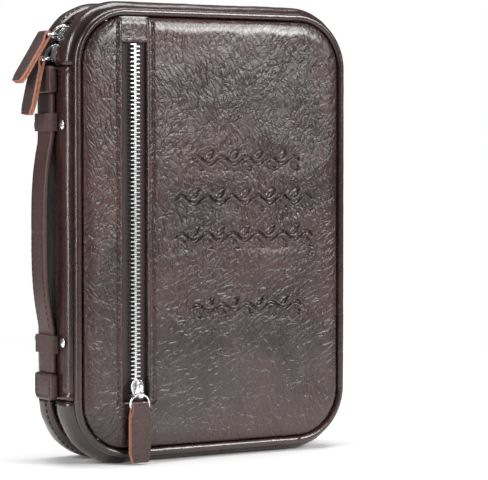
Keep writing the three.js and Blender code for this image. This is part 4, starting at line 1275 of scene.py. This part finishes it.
def make_slider(name, frame_of):
    """frame_of is the origin, and the directions across the zip, along its travel and out from it."""
    half = [(0, 5.1), (1.3, 5.0), (2.6, 4.5), (3.3, 3.3), (3.9, 1.4), (4.0, 0.2), (3.4, -1.8), (2.7, -3.6),
            (2.2, -5.0), (1.2, -5.25)]
    body = half[:-1] + [half[-1], (0, -5.25)] + [(-x, y) for x, y in half[::-1][:-1]]
    pieces = [plate_of(name + "_body", body, 0.0, SLIDER_PLATE, frame_of, [STEEL], 0.42)]
    for side in (-1, 1):
        rim = [(side * 2.3, 4.6), (side * 3.1, 3.6), (side * 3.72, 1.2), (side * 3.75, 0.2),
               (side * 3.1, -1.9), (side * 2.4, -3.8),
               (side * 1.7, -3.8), (side * 2.4, -1.8), (side * 3.0, 0.2), (side * 2.95, 1.2),
               (side * 2.4, 3.2), (side * 1.6, 4.3)]
        if side < 0:
            rim = rim[::-1]
        pieces.append(plate_of(name + "_rib", rim, SLIDER_PLATE - 0.3, SLIDER_PLATE + 0.45, frame_of,
                               [STEEL], 0.2))
    arch = [(4.3, 1.2), (4.1, 2.6), (2.6, 4.4), (0.2, 5.7), (-2.2, 6.2), (-4.2, 6.1), (-5.1, 5.0),
            (-5.0, 3.9), (-4.4, 2.6), (-4.2, 1.2)]
    line = curve_through(arch, 4)
    rows = []
    for i, (along_, out) in enumerate(line):
        t = line[min(i + 1, len(line) - 1)] - line[max(i - 1, 0)]
        t = t / np.linalg.norm(t)
        normal = np.array([-t[1], t[0]])
        wide = 1.35 + 0.35 * math.exp(-((i - 4) / 6) ** 2)
        ring = []
        for a in np.arange(12) / 12 * 2 * math.pi:
            ca, sa = math.cos(a), math.sin(a)
            u = wide * math.copysign(abs(ca) ** 0.6, ca)
            v = 0.55 * math.copysign(abs(sa) ** 0.6, sa)
            ring.append([u, along_ + normal[0] * v, out + normal[1] * v])
        rows.append(in_frame(ring, *frame_of))
    pieces.append(tube(name + "_bail", np.array(rows), [STEEL]))
    obj = merged(name + "_body", pieces)
    done(obj, name, "silver_metal", name)


def make_ring(name, body, frame_of):
    """frame_of is the pivot, and the directions across, down and through the ring."""
    t = np.linspace(math.pi, 0, 25)
    curve = [(RING_HALF * math.copysign(abs(math.cos(a)) ** 0.85, math.cos(a)),
              5.2 * (1 - math.sin(a) ** 0.9)) for a in t]
    right = [(RING_HALF, 6.1), (RING_HALF - 0.25, 6.75), (RING_HALF - 0.9, 7.0)]
    bottom = [(x, 7.0) for x in np.linspace(RING_HALF - 1.6, 1.6 - RING_HALF, 6)]
    left = [(0.9 - RING_HALF, 7.0), (0.25 - RING_HALF, 6.75), (-RING_HALF, 6.1)]
    line = np.array(curve + right + bottom + left)
    n = len(line)
    rows = []
    for i in range(n):
        d = line[(i + 1) % n] - line[i - 1]
        d = d / np.linalg.norm(d)
        ring = [[line[i][0] - d[1] * WIRE * math.cos(a), line[i][1] + d[0] * WIRE * math.cos(a),
                 WIRE * math.sin(a)]
                for a in np.arange(10) / 10 * 2 * math.pi]
        rows.append(in_frame(ring, *frame_of))
    done(tube(name + "_wire", np.array(rows), [STEEL], closed=True), body, "silver_metal", name)


def make_pull(name, body, frame_of):
    """A strip folded over the ring's bar: two plies sewn together, with raw tan edges."""
    ply, gap = 1.5, 0.12
    neck_half, corner_radius, end_round = 4.9, 2.2, 1.5

    def fold_point(degrees):
        a = math.radians(degrees)
        return FOLD_RADIUS * math.sin(a), -FOLD_RADIUS * math.cos(a)

    outer = [(gap + ply + 0.02, PULL_LENGTH), (gap + ply, 26.0), (gap + ply + 0.03, 18.0), (gap + ply, 9.0),
             (gap + ply + 0.1, 5.5),
             (FOLD_RADIUS - 0.25, 2.8)] + [fold_point(a) for a in (100, 80, 60, 40, 20, 0)]
    inner = [(0, -0.98), (0.62, -0.78), (0.95, -0.2), (0.98, 0.6), (0.8, 1.8), (gap, 4.2), (gap, 9.0),
             (gap, 18.0), (gap, 26.0), (gap, PULL_LENGTH)]
    right = np.array(outer)
    left = right[::-1][1:] * (-1, 1)
    inner_left = np.array(inner[::-1])[:-1] * (-1, 1)
    profile = np.vstack([right, left, inner_left, np.array(inner)])
    stations = np.array([-1, -0.965, -0.9, -0.6, -0.2, 0.2, 0.6, 0.9, 0.965, 1.0])
    rows = []
    for u in stations:
        shoulder = smoothstep(profile[:, 1], 2.0, 4.2)
        half = neck_half + (PULL_HALF - neck_half) * shoulder
        corner = np.clip((profile[:, 1] - (PULL_LENGTH - corner_radius)) / corner_radius, 0, 1)
        half = half - end_round * (1 - np.sqrt(1 - corner ** 2))
        thin = 1 - 0.06 * (abs(u) > 0.95)
        rows.append(in_frame(np.stack([u * half, profile[:, 1], profile[:, 0] * thin], -1), *frame_of))
    tab = tube(name + "_tab", np.array(rows), [CUT, TAN], smooth=True)
    across = frame_of[1]
    mesh = tab.data
    points = np.array([v.co[:] for v in mesh.vertices])
    centre = place(frame_of[0])[0]
    reach = (points - centre) @ frame_of[2] / MM
    for polygon in mesh.polygons:
        side_on = abs(np.dot(polygon.normal[:], across)) > 0.7
        at_end = all(reach[v] > PULL_LENGTH - 2.3
                     for v in polygon.vertices) and abs(np.dot(polygon.normal[:], frame_of[3])) < 0.5
        inside = all(abs(np.dot(points[v] - centre, frame_of[3])) / MM < 1.1 for v in polygon.vertices)
        if side_on or at_end or inside:
            polygon.material_index = 1
    sharpen(tab, 50)
    done(tab, body, "cut_leather", name)
    inset, first = 1.35, 7.0
    for side in (-1, 1):
        run = [(-PULL_HALF + inset, first), (-PULL_HALF + inset, PULL_LENGTH - 2.6),
               (-PULL_HALF + inset + 0.9, PULL_LENGTH - inset),
               (PULL_HALF - inset - 0.9, PULL_LENGTH - inset), (PULL_HALF - inset, PULL_LENGTH - 2.6),
               (PULL_HALF - inset, first),
               (-PULL_HALF + inset, first)]
        run = np.array(run)
        reach_along = np.concatenate([[0], np.cumsum(np.linalg.norm(np.diff(run, axis=0), axis=1))])
        t = np.linspace(0, reach_along[-1], 160)
        local = np.stack([np.interp(t, reach_along, run[:, 0]), np.interp(t, reach_along, run[:, 1]),
                          np.full(160, side * (gap + ply))], -1)
        path = in_frame(local, *frame_of)
        seam = stitch(name + "_stitching_" + ("front" if side > 0 else "back"), path,
                      np.tile(frame_of[3] * side, (160, 1)),
                      1.7, 0.8, 0.24, material=TAN_THREAD)
        done(seam, body, "cut_leather")


TAN_THREAD = thread("edge_thread_finish", (0.16, 0.085, 0.065))


def make_zip_pull(name, across, along_, out, ring_down, tab_down):
    pivot = joint_place(name + "_pull_swing")
    across, along_, out = unit(across), unit(along_), unit(out)
    origin = pivot + along_ * BAIL_BACK - out * BAIL_OUT
    make_slider(name + "_slider", (origin, across, along_, out))
    ring_down, tab_down = unit(ring_down), unit(tab_down)
    make_ring(name + "_ring", name + "_pull", (pivot, across, ring_down, np.cross(across, ring_down)))
    bar = pivot + ring_down * RING_LENGTH
    make_pull(name + "_pull", name + "_pull", (bar, across, tab_down, np.cross(across, tab_down)))


make_zip_pull("pocket", (1, 0, 0), (0, 0, 1), (0, -1, 0), (0, 0, -1), (0, 0, -1))
for name, lean, ring_way in (("lower", LOWER_LEAN, LOWER_RING), ("upper", UPPER_LEAN, UPPER_RING)):
    arm = joint_place(name + "_pull_swing") - CORNER_CENTRE
    reach = math.hypot(arm[0], arm[2])
    a = math.atan2(arm[2], -arm[0]) + math.asin(BAIL_BACK / reach)
    out = np.array([-math.cos(a), 0, math.sin(a)])
    along_ = np.array([math.sin(a), 0, math.cos(a)])
    make_zip_pull(name, np.cross(along_, out), along_, out, ring_way, (-math.sin(lean), 0, -math.cos(lean)))


# ---- inside the covers ----------------------------------------------------------------------------------
def flat_panel(name, node, materials, ripple=0.1, step=4.0, seed=0, scale=16, clip=True, trim=0.0):
    """A thin panel in a node's place, cut to the covers' outline, with a soft ripple."""
    low, high = case_box(node)
    side = -1 if high[1] < 0 else 1
    near, far = sorted((abs(low[1]), abs(high[1])))
    xs = spaced((low[0] - 0.5, high[0] + 0.5, step)) if clip else spaced((low[0], high[0], step))
    zs = spaced((low[2] - 0.5, high[2] + 0.5, step)) if clip else spaced((low[2], high[2], step))
    gx, gz = np.meshgrid(xs, zs, indexing="ij")
    bump = ripple * (soft_noise(gx / scale, gz / scale, seed) - 0.6)
    inner = np.stack([gx, side * (near - np.minimum(bump, 0)), gz], -1).reshape(-1, 3)
    obj = new_object(name, inner, grid_faces(len(xs), len(zs)), materials)
    bm = bmesh.new()
    bm.from_mesh(obj.data)
    if clip:
        clip_to_outline(bm, trim, 10)
        for co, no in (((low[0], 0, 0), (-1, 0, 0)), ((high[0], 0, 0), (1, 0, 0)),
                       ((0, 0, low[2]), (0, 0, -1)), ((0, 0, high[2]), (0, 0, 1))):
            cut_mesh(bm, place_one(*co), no)
    close_behind(bm, place_one(0, side * far, 0)[1])
    bm.to_mesh(obj.data)
    bm.free()
    for polygon in obj.data.polygons:
        polygon.use_smooth = True
    return sharpen(obj, 40), low, high, side, near


def rim_stitching(name, body, slot, low, high, depth, side, inset, material=None, sides="LBRT"):
    """Stitches along the chosen sides of a panel, on the face towards the pages."""
    x0, x1, z0, z1 = low[0] + inset, high[0] - inset, low[2] + inset, high[2] - inset
    lines = {"L": ((x0, z1), (x0, z0)), "B": ((x0, z0), (x1, z0)), "R": ((x1, z0), (x1, z1)),
             "T": ((x1, z1), (x0, z1))}
    pieces = []
    for key in sides:
        (xa, za), (xb, zb) = lines[key]
        t = np.linspace(0, 1, 60)
        path = np.stack([xa + (xb - xa) * t, np.full(60, side * depth), za + (zb - za) * t], -1)
        pieces.append(stitch(name, path, np.tile([0, -side, 0], (60, 1)), 2.6, 1.1, 0.25,
                             material=material or TAN_THREAD))
    obj = merged(name, pieces) if len(pieces) > 1 else pieces[0]
    done(obj, body, slot)


def make_cover_inside(side_name, side):
    cover = side_name + "_cover"
    board, low, high, _, _ = flat_panel(side_name + "_board", side_name + "_stiffener", [BOARD], 0.05, 12,
                                        seed=3, trim=1.0)
    done(board, cover, "stiffener_board", side_name + "_stiffener")
    cloth, low, high, _, near = flat_panel(side_name + "_lining_cloth", side_name + "_lining", [LINING],
                                           0.22, 3, seed=5 + side, trim=1.0)
    done(cloth, cover, "lining_cloth", side_name + "_lining")
    sleeve, low, high, _, near = flat_panel(side_name + "_sleeve_panel", side_name + "_sleeve", [INNER],
                                            0.22, 3, seed=8 + side, trim=2.0)
    done(sleeve, cover, "pocket_leather", side_name + "_sleeve")
    mouth_low, mouth_high = low.copy(), high.copy()
    rim_stitching(side_name + "_sleeve_stitching", cover, "pocket_leather", mouth_low + (0, 0, 22),
                  mouth_high - (0, 0, 22),
                  near + 0.02, side, 2.2, sides="L")


for side_name, side in SIDES:
    make_cover_inside(side_name, side)


def make_bag():
    bag, low, high, _, _ = flat_panel("pocket_bag_cloth", "pocket_bag", [LINING], 0.08, 5, seed=12,
                                      trim=6.0)
    done(bag, "front_cover", "lining_cloth", "pocket_bag")


make_bag()


def make_pen_sleeves():
    low, high = case_box("pen_sleeves")
    back = abs(low[1])
    count = 3
    width = (high[0] - low[0]) / count
    xs = np.linspace(low[0], high[0], 61)
    rows = []
    for z in np.linspace(low[2], high[2], 40):
        phase = (xs - low[0]) / width
        swell = np.abs(np.sin(math.pi * phase)) ** 0.75
        open_up = 0.75 + 0.25 * smoothstep(z, low[2] + 3, high[2] - 6)
        lip = 0.18 * math.exp(-((z - high[2] + 1.2) / 1.4) ** 2)
        y = -(back - 0.25 - (high[1] - low[1] - 0.45) * swell * open_up - lip) + 0.12 * soft_noise(xs / 6,
                                                                                                   np.full(61, z / 9), 15)
        outer = np.stack([xs, np.clip(y, low[1] + 0.15, high[1]), np.full(61, z)], -1)
        inner = np.stack([xs[::-1], np.maximum(outer[::-1, 1] - 0.7, low[1]), np.full(61, z)], -1)
        rows.append(np.vstack([outer, inner]))
    done(sharpen(tube("pen_sleeve_row", np.array(rows), [INNER]), 60), "front_cover", "pocket_leather",
         "pen_sleeves")
    pieces = []
    for k in range(count + 1):
        x = low[0] + k * width + (0.8 if k == 0 else -0.8 if k == count else 0)
        z = np.linspace(low[2] + 1, high[2] - 1, 50)
        path = np.stack([np.full(50, x), np.full(50, -(back - 0.45)), z], -1)
        pieces.append(stitch("seam", path, np.tile([0, 1, 0], (50, 1)), 2.4, 1.0, 0.22,
                             material=TAN_THREAD))
    done(merged("pen_sleeve_stitching", pieces), "front_cover", "pocket_leather")


def make_card_pockets():
    low, high = case_box("card_pockets")
    thick = (high[1] - low[1]) / 3
    step = 34.0
    pieces = []
    for k in range(3):
        top = high[2] - k * step
        outer = high[1] - k * thick
        n = 90
        xs = np.linspace(low[0], high[0], n)
        rows = []
        for z in np.concatenate([np.linspace(low[2], top - 3, 24), np.linspace(top - 2.4, top, 6)]):
            notch = 0.9 * np.exp(-((xs - (low[0] + high[0]) / 2) / 16) ** 4) * smoothstep(z, top - 6, top)
            lip = 0.14 * math.exp(-((z - top + 1.0) / 0.9) ** 2)
            swell = 0.06 * soft_noise(xs / 22, np.full(n, z / 18), 20 + k)
            face = np.stack([xs, np.full(n, outer - thick) - lip * 0.8 + np.minimum(swell, 0.02),
                             np.full(n, z) - 3.0 * notch], -1)
            rear = np.stack([xs[::-1], np.full(n, outer - 0.02), face[::-1, 2]], -1)
            rows.append(np.vstack([face, rear]))
        pieces.append(sharpen(tube("card_pocket", np.array(rows), [INNER]), 50))
    done(merged("card_pocket_stack", pieces), "back_cover", "pocket_leather", "card_pockets")
    rim_stitching("card_pocket_stitching", "back_cover", "pocket_leather", low, high - (0, 0, 2 * step),
                  low[1] + 0.02, 1, 2.0, sides="LBR")


def make_window():
    low, high = case_box("clear_window")
    pane = flat_panel("window_film", "clear_window", [FILM], 0.18, 3, seed=33, scale=20, clip=False)[0]
    done(pane, "back_cover", "clear_film", "clear_window")
    border = 4.2

    def square(d):
        x0, x1, z0, z1 = low[0] + d, high[0] - d, low[2] + d, high[2] - d
        return np.array([(x0, z0), (x1, z0), (x1, z1), (x0, z1)])

    rings = []
    for d, y in ((0.0, high[1]), (0.0, low[1] + 0.2), (0.6, low[1] - 0.25), (border - 0.6, low[1] - 0.25),
                 (border, low[1] + 0.05), (border, high[1])):
        rings.append(np.insert(square(d), 1, y, axis=1))
    rings = np.array(rings)
    vertices = rings.reshape(-1, 3)
    frame_obj = facing(new_object("window_border", vertices, grid_faces(6, 4, True, True), [INNER]))
    sharpen(frame_obj, 40)
    done(frame_obj, "back_cover", "pocket_leather")
    rim_stitching("window_stitching", "back_cover", "pocket_leather", low, high, low[1] - 0.25, 1, 2.1)


make_pen_sleeves()
make_card_pockets()
make_window()


# ---- Bible ------------------------------------------------------------------------------------------------
book_low, book_high = case_box("bible_spine")
BOOK_FLEX = (book_low[0] + 0.6, book_low[0] + 13.0)


def book_blend(cover):
    return ("spine", cover, place_one(BOOK_FLEX[0], 0, MIDDLE_Z), place_one(BOOK_FLEX[1], 0, MIDDLE_Z))


def rounded_rectangle(x0, x1, z0, z1, radius, count=6):
    """Corners rounded at the opening edge only, square at the spine."""
    return np.concatenate([[(x0, z0)], arc_points(x1 - radius, z0 + radius, radius, 270, 360, count),
                           arc_points(x1 - radius, z1 - radius, radius, 0, 90, count), [(x0, z1)]])


def slice_up(obj, x0, x1, step):
    """Adds cuts across a flat piece."""
    bm = bmesh.new()
    bm.from_mesh(obj.data)
    for x in np.arange(x0, x1, step):
        cut_mesh(bm, place_one(x, 0, 0), (1, 0, 0), keep_both=True)
    bm.to_mesh(obj.data)
    bm.free()


def make_book_half(side_name, side):
    low, high = case_box("bible_" + side_name + "_board")
    x0 = book_low[0] + 1.9
    shape = rounded_rectangle(x0, high[0], low[2], high[2], 6.0)
    board = rounded_slab("bible_" + side_name + "_cover_board", shape, low[1], high[1], 1, [BLACK], 0.5)
    slice_up(board, x0 + 1, x0 + 14, 1.0)
    done(board, None, "bible_leather", "bible_" + side_name + "_board",
         blend=book_blend(side_name + "_cover"))

    low, high = case_box("bible_" + side_name + "_pages")
    inner, outer = sorted((abs(low[1]), abs(high[1])))
    layers = 30
    shape = rounded_rectangle(low[0], high[0], low[2], high[2], 7.0, 7)
    dense = []
    for i in range(len(shape)):
        p, q = shape[i], shape[(i + 1) % len(shape)]
        n = max(1, round(np.linalg.norm(q - p) / (3.0 if abs(q[0] - p[0]) > 5 else 9.0)))
        dense.extend([p + (q - p) * k / n for k in range(n)])
    dense = np.array(dense)
    centre = np.array([(low[0] + high[0]) / 2, (low[2] + high[2]) / 2])
    rows = []
    for k in range(2 * layers + 1):
        t = k / (2 * layers)
        depth = inner + (outer - inner) * t
        ridge = 0.22 if k % 2 else 0.0
        fan = 0.5 * soft_noise(np.full(len(dense), t * 9), dense[:, 1] / 60, 44 + side)
        away = np.sign(dense[:, 0] - centre[0]) * (dense[:, 0] > high[0] - 8)
        p = dense.copy()
        p[:, 0] -= away * (ridge + 0.25 + np.clip(fan, -0.25, 0.5))
        p[:, 1] -= np.sign(dense[:,
                                 1] - centre[1]) * (ridge
                                                    * 0.8) * (np.abs(dense[:,
                                                                           1] - centre[1]) > (high[2]
                                                                                              - low[2]) / 2
                                                                                              - 0.5)
        rows.append(np.insert(p, 1, side * depth, axis=1))
    pages = tube("bible_" + side_name + "_leaves", np.array(rows), [PAPER])
    slice_up(pages, low[0] + 1.0, low[0] + 16, 1.0)
    sharpen(pages, 60)
    done(pages, None, "paper", "bible_" + side_name + "_pages", blend=book_blend(side_name + "_cover"))


def make_book_spine():
    low, high = book_low, book_high
    half = high[1]
    count = 25
    y = np.linspace(-half, half, count)
    rows = []
    for z in np.linspace(low[2], high[2], 80):
        band = sum(0.25 * math.exp(-((z - (low[2] + (high[2] - low[2]) * f)) / 1.6) ** 2)
                   for f in (0.16, 0.38, 0.62, 0.84))
        x = low[0] + 0.35 - band * 0.9 + 0.25 * (np.abs(y) / half) ** 4
        outer = np.stack([x, y, np.full(count, z)], -1)
        inner = np.stack([np.full(count, high[0] - 0.05), y[::-1], np.full(count, z)], -1)
        rows.append(np.vstack([outer, inner]))
    done(sharpen(tube("bible_spine_cover", np.array(rows), [BLACK]), 50), "spine", "bible_leather",
         "bible_spine")
    for level in ("upper", "lower"):
        low, high = case_box(level + "_headband")
        ys = np.arange(low[1], high[1], 0.35)
        rows = []
        for k, yy in enumerate(ys):
            r = 0.72 + 0.08 * (k % 2)
            a = np.arange(10) / 10 * 2 * math.pi
            cx, cz = (low[0] + high[0]) / 2, (low[2] + high[2]) / 2
            rows.append(np.stack([cx + 1.1 * r * np.cos(a), np.full(10, yy), cz + r * np.sin(a)], -1))
        done(tube(level + "_headband_cord", np.array(rows), [RIBBON]), "spine", "ribbon_cloth",
             level + "_headband")


def make_ribbon(name, slant):
    low, high = case_box(name)
    width, top, tail = 7.0, high[2], low[2]
    rows = []
    left = low[0]
    for t in np.linspace(0, 1, 90):
        z = top + (tail + 1.5 - top) * t
        x = left + slant * t
        y = (low[1] + high[1]) / 2 + 0.05 * math.sin(t * 14)
        us = np.linspace(0, 1, 9)
        curl = 0.05 * np.cos(us * 2 * math.pi)
        cut = 1.5 * (1 - 2 * np.abs(us - 0.5)) * (t > 0.985)
        front_face = np.stack([x + width * us, y - 0.09 + curl, np.full(9, z) + cut], -1)
        back_face = np.stack([x + width * us[::-1], y + 0.09 + curl[::-1], np.full(9, z) + cut[::-1]], -1)
        rows.append(np.vstack([front_face, back_face]))
    ribbon = sharpen(tube(name + "_band", np.array(rows), [RIBBON]), 50)
    done(ribbon, "spine", "ribbon_cloth", name)


for side_name, side in SIDES:
    make_book_half(side_name, side)
make_book_spine()
make_ribbon("first_ribbon_marker", 9)
make_ribbon("second_ribbon_marker", 24)


def make_spine_lining():
    low, high = case_box("spine_lining")
    ys, zs = np.linspace(low[1], high[1], 24), np.linspace(low[2], high[2], 90)
    rows = []
    for z in zs:
        ripple = 0.15 * soft_noise(ys / 7, np.full(24, z / 12), 50)
        inner = np.stack([high[0] - 0.15 + np.clip(ripple, -0.1, 0.15), ys, np.full(24, z)], -1)
        outer = np.stack([np.full(24, low[0]), ys[::-1], np.full(24, z)], -1)
        rows.append(np.vstack([inner, outer]))
    cloth = sharpen(tube("spine_lining_cloth", np.array(rows), [LINING]), 50)
    done(cloth, "spine", "lining_cloth", "spine_lining")


make_spine_lining()


# ---- a list of CAD shapes that still show ----------------------------------------------------------------
left_over = [node for node, obj in sorted(frame["nodes"].items()) if not obj.hide_render]
print("CAD shapes kept:", left_over)
